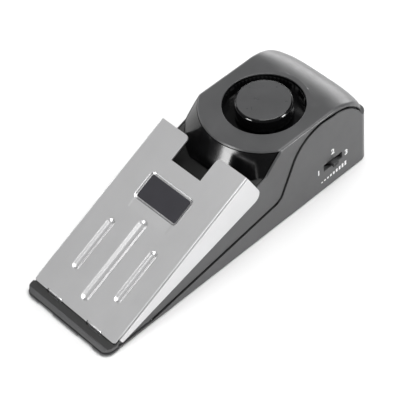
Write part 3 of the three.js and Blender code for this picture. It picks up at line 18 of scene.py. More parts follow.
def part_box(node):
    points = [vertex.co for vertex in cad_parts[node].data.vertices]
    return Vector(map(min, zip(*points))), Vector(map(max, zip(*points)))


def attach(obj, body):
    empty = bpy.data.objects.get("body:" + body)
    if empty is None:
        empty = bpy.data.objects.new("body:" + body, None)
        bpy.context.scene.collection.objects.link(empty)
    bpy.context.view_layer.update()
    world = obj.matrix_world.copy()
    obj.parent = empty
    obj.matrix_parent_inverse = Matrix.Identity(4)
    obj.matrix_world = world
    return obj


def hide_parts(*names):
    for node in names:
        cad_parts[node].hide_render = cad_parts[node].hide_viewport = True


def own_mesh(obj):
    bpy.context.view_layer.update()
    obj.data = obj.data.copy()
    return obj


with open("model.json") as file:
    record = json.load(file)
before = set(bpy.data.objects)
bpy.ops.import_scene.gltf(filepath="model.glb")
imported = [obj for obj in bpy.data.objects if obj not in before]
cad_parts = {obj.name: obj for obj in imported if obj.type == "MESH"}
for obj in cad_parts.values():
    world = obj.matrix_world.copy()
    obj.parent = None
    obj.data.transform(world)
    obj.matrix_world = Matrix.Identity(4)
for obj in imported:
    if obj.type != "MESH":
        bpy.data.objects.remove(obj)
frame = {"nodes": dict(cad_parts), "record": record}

# Metres in a millimetre
MM = 0.001
# How many facets arcs, turns and small roundings get
FINE_STEPS = 40
ROUND_SEGMENTS = 192
SMALL_SEGMENTS = 48
CORNER_STEPS = 10
SMALL_STEPS = 4
# Points this close are one, and a plane that passes this close to a point goes through it
MERGE_DISTANCE = 0.0004
SPLIT_DISTANCE = 1e-5
# How far an edge may be from a face or from a region that it is picked by
NEAR = 0.01
REGION = 0.1
# How far joined forms reach into each other, and how far outlines and cutters reach past the body
OVERLAP = 0.1
OVERRUN = 2.0
PAST = 1.0
# Angles between faces: shaded as an edge, rounded as an edge, and flat enough to merge
SHARP_ANGLE = math.radians(34)
EDGE_ANGLE = math.radians(22)
FLAT_ANGLE = math.radians(0.05)
QUARTER = math.pi / 2
# The part of a noise's range that values and colours are spread over
NOISE_BAND = (0.3, 0.7)
TINT_BAND = (0.35, 0.65)
# How much large faces count in the smooth shading
FACE_WEIGHT = 60
LOG = logging.getLogger("door_stop_alarm")

Pair = tuple[float, float]
Triple = tuple[float, float, float]
Socket = bpy.types.NodeSocket


class Operation(Enum):
    """How one solid is combined with others."""

    JOIN = "UNION"
    CUT = "DIFFERENCE"
    KEEP = "INTERSECT"


class Body(Enum):
    """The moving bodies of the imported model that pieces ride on."""

    HOUSING = "housing"
    PLATE = "plate"
    DOOR = "door"
    SENSITIVITY = "sensitivity"


def eased(share: float) -> float:
    """Smooth step of a share, level at nought and at one."""
    share = min(max(share, 0.0), 1.0)
    return share * share * (3 - 2 * share)


def even(size: float) -> Triple:
    """The same size along every axis."""
    return size, size, size


def limits(node: str) -> tuple[Vector, Vector]:
    """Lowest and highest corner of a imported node, in millimetres."""
    return tuple(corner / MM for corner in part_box(node))


def placed(name: str, data: bpy.types.ID) -> bpy.types.Object:
    """Show some data in the scene.

    Args:
        name: Name of the new object.
        data: Its mesh, curve, lamp or camera.

    Returns:
        The new object, at the origin.
    """
    shown = bpy.data.objects.new(name, data)
    bpy.context.scene.collection.objects.link(shown)
    return shown


def split(mesh: bmesh.types.BMesh, place: Sequence[float], normal: Sequence[float]) -> None:
    """Add edges where the plane through a place, square to a normal, crosses a mesh."""
    bmesh.ops.bisect_plane(mesh, geom=mesh.verts[:] + mesh.edges[:] + mesh.faces[:], dist=SPLIT_DISTANCE,
                           plane_co=place, plane_no=normal)


def arc(u: float, v: float, radius: float, start: float, end: float, steps: int) -> list[Pair]:
    """Points on an arc.

    Args:
        u, v: Centre of the arc.
        radius: Its radius.
        start, end: Its angles in radians.
        steps: How many chords it has.

    Returns:
        One more point than it has chords.
    """
    turn = (end - start) / steps
    return [(u + radius * math.cos(start + turn * i), v + radius * math.sin(start + turn * i))
            for i in range(steps + 1)]


def rounded(u0: float, u1: float, v0: float, v1: float, radius: float) -> list[Pair]:
    """Outline of a rectangle with round corners, anticlockwise.

    Args:
        u0, u1, v0, v1: Limits of the rectangle.
        radius: Radius of its corners.

    Returns:
        The outline's points.
    """
    centres = [(u1 - radius, v0 + radius), (u1 - radius, v1 - radius), (u0 + radius, v1 - radius),
               (u0 + radius, v0 + radius)]
    return [point for i, (u, v) in enumerate(centres)
            for point in arc(u, v, radius, (i - 1) * QUARTER, i * QUARTER, CORNER_STEPS)]


def capsule(x: float, y: float, width: float, length: float) -> list[Pair]:
    """Outline with round ends, longer along Y than it is wide.

    Args:
        x, y: Its middle.
        width, length: Its whole width and length.

    Returns:
        The outline's points.
    """
    radius, reach = width / 2, (length - width) / 2
    return (arc(x, y - reach, radius, -math.pi, 0, FINE_STEPS // 2)
            + arc(x, y + reach, radius, 0, math.pi, FINE_STEPS // 2))


class Solid:
    """A closed mesh in millimetres that is joined, cut and rounded until it becomes a piece."""

    def __init__(self, mesh: bmesh.types.BMesh) -> None:
        """Keep the mesh that holds the shape."""
        self.mesh = mesh

    def merged(self) -> "Solid":
        """This solid with points in one place made one."""
        bmesh.ops.remove_doubles(self.mesh, verts=self.mesh.verts, dist=MERGE_DISTANCE)
        return self

    def faced(self) -> "Solid":
        """This solid with its faces turned out."""
        bmesh.ops.recalc_face_normals(self.mesh, faces=self.mesh.faces)
        return self

    @classmethod
    def prism(cls, points: Sequence[Vector], along: Vector) -> "Solid":
        """Push an outline along a direction.

        Args:
            points: Corners of the outline.
            along: How far it is pushed.

        Returns:
            The closed prism.
        """
        mesh = bmesh.new()
        face = mesh.faces.new([mesh.verts.new(point) for point in points])
        pushed = bmesh.ops.extrude_face_region(mesh, geom=[face])["geom"]
        bmesh.ops.translate(mesh, vec=along, verts=[v for v in pushed if isinstance(v, bmesh.types.BMVert)])
        return cls(mesh).merged().faced()

    @classmethod
    def side(cls, outline: Sequence[Pair], half: float) -> "Solid":
        """Prism across the body, from an outline of Y and Z pairs and half its width."""
        return cls.prism([Vector((-half, y, z)) for y, z in outline], Vector((2 * half, 0, 0)))

    @classmethod
    def plan(cls, outline: Sequence[Pair], z0: float, z1: float) -> "Solid":
        """Upright prism from an outline of X and Y pairs, between two heights."""
        return cls.prism([Vector((x, y, z0)) for x, y in outline], Vector((0, 0, z1 - z0)))

    @classmethod
    def block(cls, x: Pair, y: Pair, z: Pair) -> "Solid":
        """Box.

        Args:
            x, y, z: Its limits along each axis.

        Returns:
            The box.
        """
        mesh = bmesh.new()
        spans = [high - low for low, high in (x, y, z)]
        middle = Matrix.Translation([(low + high) / 2 for low, high in (x, y, z)])
        bmesh.ops.create_cube(mesh, size=1, matrix=middle @ Matrix.Diagonal((*spans, 1)))
        return cls(mesh)

    @classmethod
    def band(cls, half: float, y: Pair, z: Pair) -> "Solid":
        """Box across the body, from half its width and its limits along Y and Z."""
        return cls.block((-half, half), y, z)

    @classmethod
    def post(cls, x: float, y: float, z: Pair, radius: float, top: float | None = None,
             segments: int = ROUND_SEGMENTS) -> "Solid":
        """Upright cylinder or cone.

        Args:
            x, y: Its axis.
            z: Its lowest and highest point.
            radius: Radius at its foot.
            top: Radius at its top, the same as the foot's if left out.
            segments: Facets of one turn.

        Returns:
            The closed cylinder or cone.
        """
        mesh = bmesh.new()
        place = Matrix.Translation((x, y, (z[0] + z[1]) / 2))
        bmesh.ops.create_cone(mesh, cap_ends=True, segments=segments, radius1=radius,
                              radius2=radius if top is None else top, depth=z[1] - z[0], matrix=place)
        return cls(mesh)

    @classmethod
    def turned(cls, x: float, y: float, profile: Sequence[Pair], segments: int = ROUND_SEGMENTS) -> "Solid":
        """Solid of revolution about an upright axis.

        Args:
            x, y: Its axis.
            profile: Radius and height pairs, closed by the axis or by the first pair.
            segments: Facets of one turn.

        Returns:
            The closed solid, with its faces out.
        """
        mesh = bmesh.new()
        verts = [mesh.verts.new((x + radius, y, z)) for radius, z in profile]
        rim = list(zip(verts, verts[1:] + ([] if profile[0][0] == 0 else verts[:1])))
        edges = [mesh.edges.new(pair) for pair in rim]
        bmesh.ops.spin(mesh, geom=verts + edges, cent=(x, y, 0), axis=(0, 0, 1), angle=2 * math.pi,
                       steps=segments, use_merge=True)
        return cls(mesh).merged().faced()

    @classmethod
    def of_node(cls, node: str) -> "Solid":
        """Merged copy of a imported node's mesh.

        Args:
            node: Name of the node.

        Returns:
            The copy, in millimetres.
        """
        mesh = bmesh.new()
        mesh.from_mesh(frame["nodes"][node].data)
        bmesh.ops.scale(mesh, vec=even(1 / MM), verts=mesh.verts)
        return cls(mesh).merged()

    def _evaluated(self, tools: Sequence["Solid"],
                   prepare: Callable[[bpy.types.Object, list], None]) -> "Solid":
        """Give this solid some modifiers and take what comes out of them.

        Args:
            tools: Other solids that the modifiers use.
            prepare: Adds the modifiers to an object, given the objects of the tools.

        Returns:
            The new solid.
        """
        objects = []
        for form in (self, *tools):
            data = bpy.data.meshes.new("blank")
            form.mesh.to_mesh(data)
            objects.append(placed("blank", data))
        prepare(objects[0], objects[1:])
        shown = objects[0].evaluated_get(bpy.context.evaluated_depsgraph_get())
        result = bmesh.new()
        result.from_mesh(shown.data)
        for used in objects:
            bpy.data.meshes.remove(used.data)
        return Solid(result)

    def combined(self, operation: Operation, *others: "Solid") -> "Solid":
        """Join, cut or keep.

        Args:
            operation: What is done with the other solids.
            others: The other solids, used one after the other.

        Returns:
            The new solid.
        """
        def prepare(target: bpy.types.Object, tools: list[bpy.types.Object]) -> None:
            """Add one boolean modifier for each tool.

            Args:
                target: The object that is changed.
                tools: The objects that change it.
            """
            for tool in tools:
                modifier = target.modifiers.new("combine", "BOOLEAN")
                modifier.solver = "MANIFOLD"
                modifier.operation = operation.value
                modifier.object = tool
        return self._evaluated(others, prepare)

    def join(self, *others: "Solid") -> "Solid":
        """This solid with the others joined to it."""
        return self.combined(Operation.JOIN, *others)

    def cut(self, *others: "Solid") -> "Solid":
        """This solid with the others cut away."""
        return self.combined(Operation.CUT, *others)

    def keep(self, *others: "Solid") -> "Solid":
        """What this solid has in common with the others."""
        return self.combined(Operation.KEEP, *others)

    def tidied(self) -> "Solid":
        """Merge flat facets and close slivers.

        Returns:
            This solid.
        """
        mesh = self.merged().mesh
        bmesh.ops.dissolve_limit(mesh, angle_limit=FLAT_ANGLE, use_dissolve_boundaries=False,
                                 verts=mesh.verts, edges=mesh.edges)
        return self

    def round_edges(self, width: float, where: Callable[[Vector], bool], segments: int = 3) -> "Solid":
        """Round the sharp edges of one region.

        Args:
            width: Width of the rounding on each side of an edge.
            where: Says whether an edge belongs to the region, from its middle.
            segments: Facets across the rounding.

        Returns:
            This solid.
        """
        sharp = [edge for edge in self.mesh.edges if edge.is_manifold
                 and edge.calc_face_angle(0) > EDGE_ANGLE
                 and where((edge.verts[0].co + edge.verts[1].co) / 2)]
        bmesh.ops.bevel(self.mesh, geom=sharp, offset=width, offset_type="OFFSET", segments=segments,
                        profile=0.5, affect="EDGES", material=-1, clamp_overlap=True)
        return self

    def fillet(self, widest: float, width_at: Callable[[Vector], float], segments: int = 6) -> "Solid":
        """Round edges by a width that changes along them.

        Args:
            widest: The largest width.
            width_at: Width of the rounding from an edge's middle, nought where it stays sharp.
            segments: Facets across the rounding.

        Returns:
            The rounded solid.
        """
        layer = self.mesh.edges.layers.float.new("bevel_weight_edge")
        for edge in self.mesh.edges:
            if edge.calc_face_angle(0) > EDGE_ANGLE:
                edge[layer] = width_at((edge.verts[0].co + edge.verts[1].co) / 2) / widest

        def prepare(target: bpy.types.Object, _: list[bpy.types.Object]) -> None:
            """Add the bevel modifier that reads the weights.

            Args:
                target: The object that is changed.
                _: Other objects, of which there are none.
            """
            modifier = target.modifiers.new("fillet", "BEVEL")
            modifier.limit_method = "WEIGHT"
            modifier.width = widest
            modifier.segments = segments
            modifier.use_clamp_overlap = False
        return self._evaluated((), prepare)

    def move(self, matrix: Matrix) -> "Solid":
        """This solid moved by a matrix."""
        self.mesh.transform(matrix)
        return self

    def piece(self, name: str, finish: "Finish", slot: str, *replaces: str,
              body: Body = Body.HOUSING) -> bpy.types.Object:
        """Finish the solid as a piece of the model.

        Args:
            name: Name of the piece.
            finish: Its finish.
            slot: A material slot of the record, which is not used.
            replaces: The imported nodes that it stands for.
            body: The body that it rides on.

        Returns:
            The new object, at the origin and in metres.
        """
        data = bpy.data.meshes.new(name)
        bmesh.ops.scale(self.mesh, vec=even(MM), verts=self.mesh.verts)
        self.mesh.to_mesh(data)
        self.mesh.free()
        data.shade_smooth()
        data.set_sharp_from_angle(angle=SHARP_ANGLE)
        data.materials.append(finish.material())
        piece = placed(name, data)
        weighted = piece.modifiers.new("even_shading", "WEIGHTED_NORMAL")
        weighted.keep_sharp = True
        weighted.weight = FACE_WEIGHT
        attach(piece, body.value)
        if replaces:
            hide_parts(*replaces)
        LOG.info("%s: %d faces on %s", name, len(data.polygons), body.value)
        return piece


class Tree:
    """Nodes of a material or of the world, with short calls for what the finishes need."""

    def __init__(self, owner: bpy.types.Material | bpy.types.World) -> None:
        """Start with the owner's own nodes and with coordinates.

        Args:
            owner: What the nodes belong to.
        """
        owner.use_nodes = True
        self.owner = owner
        self.nodes = owner.node_tree.nodes
        self.links = owner.node_tree.links
        self.coordinates = self.nodes.new("ShaderNodeTexCoord").outputs
        self.place = self.coordinates["Object"]

    def node(self, kind: str, output: str, inputs: dict[str | int, object], **options: str) -> Socket:
        """Add a node.

        Args:
            kind: Its type, without the word ShaderNode.
            output: Name of the output that is used.
            inputs: Another node's output, or a value, for each input by its name or place.
            options: Its other settings.

        Returns:
            The output.
        """
        node = self.nodes.new("ShaderNode" + kind)
        for name, option in options.items():
            setattr(node, name, option)
        for name, source in inputs.items():
            if isinstance(source, Socket):
                self.links.new(source, node.inputs[name])
            else:
                node.inputs[name].default_value = source
        return node.outputs[output]

    def scaled(self, sizes: Sequence[float]) -> Socket:
        """Object coordinates divided by a pattern's size along each axis, in millimetres."""
        scale = [1 / (MM * size) for size in sizes]
        return self.node("Mapping", "Vector", {"Vector": self.place, "Scale": scale})

    def noise(self, sizes: Sequence[float], detail: float = 3) -> Socket:
        """Noise from nought to one, with features of a size along each axis, in millimetres."""
        return self.node("TexNoise", "Fac", {"Vector": self.scaled(sizes), "Scale": 1, "Detail": detail})

    def strayed(self, source: Socket, value: float, share: float) -> Socket:
        """Make a value stray.

        Args:
            source: Noise that drives it.
            value: What it strays from.
            share: How far it strays to either side.

        Returns:
            The straying value.
        """
        low, high = NOISE_BAND
        return self.node("MapRange", "Result", {"Value": source, "From Min": low, "From Max": high,
                                                "To Min": value * (1 - share),
                                                "To Max": value * (1 + share)})

    def tint(self, source: Socket, dark: Sequence[float], light: Sequence[float]) -> Socket:
        """Colour between two colours.

        Args:
            source: Noise that drives the colour.
            dark, light: The colours that it has where the noise is low and where it is high.

        Returns:
            The colour.
        """
        colour = self.node("ValToRGB", "Color", {"Fac": source})
        for element, place, shade in zip(colour.node.color_ramp.elements, TINT_BAND, (dark, light)):
            element.position = place
            element.color = (*shade, 1)
        return colour

    def mottled(self, size: float, colour: Sequence[float], share: float) -> Socket:
        """A colour that strays by a share over clouds of a size."""
        shades = ([channel * (1 + side * share) for channel in colour] for side in (-1, 1))
        return self.tint(self.noise(even(size)), *shades)

    def bump(self, height: Socket, depth: float, under: Socket | None = None) -> Socket:
        """Normal of a surface with small relief.

        Args:
            height: Height of the relief, from nought to one.
            depth: Depth of the relief in millimetres.
            under: Normal that the relief is laid on.

        Returns:
            The normal.
        """
        inputs = {"Height": height, "Distance": depth * MM, "Strength": 1}
        if under:
            inputs["Normal"] = under
        return self.node("Bump", "Normal", inputs)


@dataclass(frozen=True)
class Finish:
    """A surface with its colour, gloss and grain, the same from piece to piece.

    Sizes of grain and relief are in millimetres, and shares say how far a value strays. The number
    gloss_clouds says how many clouds of gloss fit along one of colour.
    """

    name: str
    colour: Triple
    roughness: float
    metallic: float = 0.0
    specular: float = 0.5
    coat: float = 0.0
    coat_roughness: float = 0.06
    grain: float = 0.35
    relief: float = 0.004
    mottle: float = 8.0
    mottle_share: float = 0.06
    gloss_share: float = 0.12
    gloss_clouds: float = 3.0

    def material(self) -> bpy.types.Material:
        """The finish's material, made once."""
        return bpy.data.materials.get(self.name) or self.dressed()

    def dressed(self) -> bpy.types.Material:
        """Make the material.

        Returns:
            The material with its shader linked to mottling, gloss and relief.
        """
        tree = Tree(bpy.data.materials.new(self.name))
        shader = tree.nodes["Principled BSDF"].inputs
        for name, value in (("Metallic", self.metallic), ("Specular IOR Level", self.specular),
                            ("Coat Weight", self.coat), ("Coat Roughness", self.coat_roughness)):
            shader[name].default_value = value
        for name, source in (("Base Color", self.tone(tree)), ("Roughness", self.gloss(tree)),
                             ("Normal", self.surface(tree))):
            tree.links.new(source, shader[name])
        return tree.owner

    def tone(self, tree: Tree) -> Socket:
        """Colour with a faint cloudy mottling."""
        return tree.mottled(self.mottle, self.colour, self.mottle_share)

    def gloss(self, tree: Tree) -> Socket:
        """Roughness that strays a little over the surface."""
        clouds = tree.noise(even(self.mottle / self.gloss_clouds), detail=4)
        return tree.strayed(clouds, self.roughness, self.gloss_share)

    def surface(self, tree: Tree) -> Socket:
        """Fine moulded grain."""
        return tree.bump(tree.noise(even(self.grain), detail=2), self.relief)


@dataclass(frozen=True)
class BrushedSteel(Finish):
    """Satin sheet steel with a grain drawn along the plate."""

    stroke: Triple = (0.12, 14.0, 14.0)
    stroke_share: float = 0.1
    sheet_share: float = 3.0

    def gloss(self, tree: Tree) -> Socket:
        """Roughness streaked along the strokes."""
        return tree.strayed(tree.noise(self.stroke, detail=4), self.roughness, self.stroke_share)

    def surface(self, tree: Tree) -> Socket:
        """Strokes over a barely uneven sheet.

        Args:
            tree: The material's nodes.

        Returns:
            The normal.
        """
        waves = tree.noise(even(self.mottle * self.sheet_share), detail=1)
        sheet = tree.bump(waves, self.relief * self.sheet_share)
        return tree.bump(tree.noise(self.stroke), self.relief, sheet)


@dataclass(frozen=True)
class TwoGloss(Finish):
    """Moulding with a part of its own colour and roughness: satin on the deck, painted shade on the case.

    The part lies under a plane across the body and ahead of a place along it. The plane goes through
    a Y and Z place and is tilted by a slope; one of half a turn faces down, so the part is above it. The
    number satin_and_shade_calm says how many times calmer the part's mottling is.
    """

    # Colour of the part: satin black on the deck, a darker grey of painted shade on the case
    satin_and_shade_colour: float = 0.015
    satin_roughness: float = 0.42
    satin_and_shade_calm: float = 3.0
    slope: float = math.radians(18.9955)
    place: Pair = (-67.5, 3.1)
    end: float = 14.0

    def satin_and_shade(self, tree: Tree) -> Socket:
        """Where the part with its own colour and roughness is.

        Args:
            tree: The material's nodes.

        Returns:
            One on that part and nought elsewhere.
        """
        up = (0, -math.sin(self.slope), math.cos(self.slope))
        height = tree.node("VectorMath", "Value", {0: tree.place, 1: up}, operation="DOT_PRODUCT")
        along = tree.node("SeparateXYZ", "Y", {"Vector": tree.place})
        level = self.place[0] * up[1] + self.place[1] * up[2]
        under, ahead = (tree.node("Math", "Value", {0: source, 1: limit * MM}, operation="LESS_THAN")
                        for source, limit in ((height, level), (along, self.end)))
        return tree.node("Math", "Value", {0: under, 1: ahead}, operation="MULTIPLY")

    def tone(self, tree: Tree) -> Socket:
        """Colour of the moulding, and the part's own colour, painted shade on the grey case."""
        satin_and_shade = tree.mottled(self.mottle, even(self.satin_and_shade_colour), self.mottle_share / self.satin_and_shade_calm)
        return tree.node("MixRGB", "Color", {"Fac": self.satin_and_shade(tree), "Color1": super().tone(tree),
                                             "Color2": satin_and_shade})

    def gloss(self, tree: Tree) -> Socket:
        """Roughness of the moulding, and the part's own roughness."""
        more = self.satin_roughness - self.roughness
        return tree.node("Math", "Value", {0: self.satin_and_shade(tree), 1: more, 2: super().gloss(tree)},
                         operation="MULTIPLY_ADD")


@dataclass(frozen=True)
class Woven(Finish):
    """Glass cloth board under solder mask, with copper tracks that show through."""

    pitch: float = 1.6
    track_share: float = 1.7

    def tone(self, tree: Tree) -> Socket:
        """Green mask with lighter tracks from a grid of cells.

        Args:
            tree: The material's nodes.

        Returns:
            The colour.
        """
        cells = tree.node("TexVoronoi", "Distance", {"Vector": tree.scaled(even(self.pitch)), "Scale": 1},
                          distance="MANHATTAN")
        return tree.tint(cells, [channel * self.track_share for channel in self.colour], self.colour)


@dataclass(frozen=True)
class Stippled(Finish):
    """Rubber or foam with open pores."""

    pore: float = 0.8
    pore_share: float = 4.0

    def surface(self, tree: Tree) -> Socket:
        """Pores from cells, with fine grain on top."""
        cells = tree.node("TexVoronoi", "Distance", {"Vector": tree.scaled(even(self.pore)), "Scale": 1})
        return tree.bump(tree.noise(even(self.grain), detail=2), self.relief,
                         tree.bump(cells, self.relief * self.pore_share))


@dataclass(frozen=True)
class Wound(Finish):
    """Enamelled wire wound in even turns."""

    turn: float = 0.45
    ridge_share: float = 10.0

    def surface(self, tree: Tree) -> Socket:
        """Ridges of the turns, stacked upwards."""
        wave = tree.node("TexWave", "Fac", {"Vector": tree.scaled(even(self.turn)), "Scale": 0.5},
                         bands_direction="Z")
        return tree.bump(wave, self.relief * self.ridge_share)


# On the case the part is the nose's top strip under the plate's front edge, darkened as painted shade
CASE_GREY = TwoGloss("satin_case_grey_painted_nose_shade", (0.066, 0.0665, 0.068), 0.33, grain=0.28, relief=0.0016, mottle=14,
                     satin_and_shade_colour=0.02, satin_roughness=0.46, slope=math.pi, place=(0, 3.75), end=-67.2)
CAP_GREY = Finish("polished_cap_grey", (0.063, 0.0635, 0.065), 0.3, grain=0.28, relief=0.0012, mottle=14)
CAP_BLACK = Finish("gloss_black_cap", (0.003, 0.003, 0.0033), 0.1, specular=0.55, grain=2.5,
                   relief=0.0002, mottle=12, mottle_share=0.2)
GLOSS_BLACK = TwoGloss("gloss_black_deck", (0.003, 0.003, 0.0033), 0.19, specular=0.55, grain=2.5,
                       relief=0.0002, mottle=12, mottle_share=0.2)
PLATE_STEEL = BrushedSteel("satin_plate_steel", (0.73, 0.73, 0.735), 0.38, metallic=1.0, relief=0.0012,
                           mottle=16, mottle_share=0.02)
NAME_PLATE = Finish("violet_name_plate", (0.023, 0.0222, 0.0275), 0.34, grain=0.2, relief=0.002, mottle=5)
KNOB_BLACK = Finish("switch_knob_grey", (0.05, 0.05, 0.052), 0.3, grain=0.15, relief=0.003, mottle=2)
# The slider's foot, seen in the slot around the knob, is near black: painted shade of the slot
FOOT_SLOT_SHADE = Finish("switch_foot_painted_slot_shade", (0.008, 0.008, 0.008), 0.5, grain=0.15, relief=0.003, mottle=2)
PRINT_WHITE = Finish("printed_white", (0.8, 0.8, 0.8), 0.55, grain=0.1, relief=0.004, mottle=1)
RUBBER = Stippled("matt_pad_rubber", (0.018, 0.018, 0.019), 0.78, relief=0.012, mottle=6)
ZINC = BrushedSteel("zinc_plated_steel", (0.5, 0.51, 0.53), 0.3, metallic=1.0, relief=0.002,
                    stroke=(0.3, 0.3, 2.0), mottle=2, mottle_share=0.1)
SPRING_WIRE = BrushedSteel("drawn_spring_wire", (0.42, 0.42, 0.43), 0.26, metallic=1.0, relief=0.002,
                           stroke=(0.2, 0.2, 0.2), mottle=1.5, mottle_share=0.1)
PALE_FLOOR = Finish("pale_floor", even(0.82), 0.7, specular=0.1, grain=3.0, relief=0.0005, mottle=400,
                    mottle_share=0.005)

INNER_FINISHES = {
    "black_plastic": Finish("moulded_black", (0.02, 0.02, 0.021), 0.45, grain=0.25, relief=0.004),
    "seal_rubber": Stippled("soft_seal_rubber", (0.015, 0.015, 0.015), 0.7, relief=0.008),
    "disc_brass": BrushedSteel("rolled_disc_brass", (0.6, 0.42, 0.15), 0.25, metallic=1.0,
                               stroke=(0.15, 6.0, 6.0)),
    "ceramic_white": Finish("fired_ceramic", (0.75, 0.72, 0.63), 0.55, grain=0.12, relief=0.006),
    "battery_sleeve": Finish("battery_jacket_blue", (0.03, 0.055, 0.13), 0.28, metallic=0.35, coat=0.4,
                             grain=0.6, relief=0.002, mottle=20, mottle_share=0.12),
    "cushion_foam": Stippled("closed_cell_foam", (0.05, 0.05, 0.055), 0.95, relief=0.03, pore=0.5),
    "board_green": Woven("green_circuit_board", (0.012, 0.09, 0.03), 0.35, coat=0.2, relief=0.004),
    "button_white": Finish("moulded_button_white", (0.7, 0.68, 0.6), 0.4, grain=0.3),
    "winding_copper": Wound("enamelled_copper", (0.4, 0.12, 0.035), 0.25, metallic=0.8, relief=0.004),
    "capacitor_sleeve": Finish("capacitor_sleeve_black", (0.03, 0.03, 0.05), 0.25, coat=0.3),
    "resistor_tan": Finish("lacquered_resistor", (0.5, 0.36, 0.2), 0.35, coat=0.4, mottle=1.2,
                           mottle_share=0.25),
    "sensor_brass": BrushedSteel("plated_sensor_can", (0.5, 0.39, 0.17), 0.3, metallic=1.0),
    "lead_red": Finish("lead_sleeve_red", (0.42, 0.012, 0.012), 0.35, grain=0.5, relief=0.003),
    "lead_black": Finish("lead_sleeve_black", (0.012, 0.012, 0.012), 0.35, grain=0.5, relief=0.003),
    "zinc_steel": ZINC,
    "knob_black": KNOB_BLACK,
    "case_grey": CASE_GREY,
    "gloss_black": GLOSS_BLACK,
    "cap_grey": CAP_GREY,
    "pad_rubber": RUBBER,
    "plate_steel": PLATE_STEEL,
    "name_plate_violet": NAME_PLATE,
    "spring_steel": SPRING_WIRE,
}


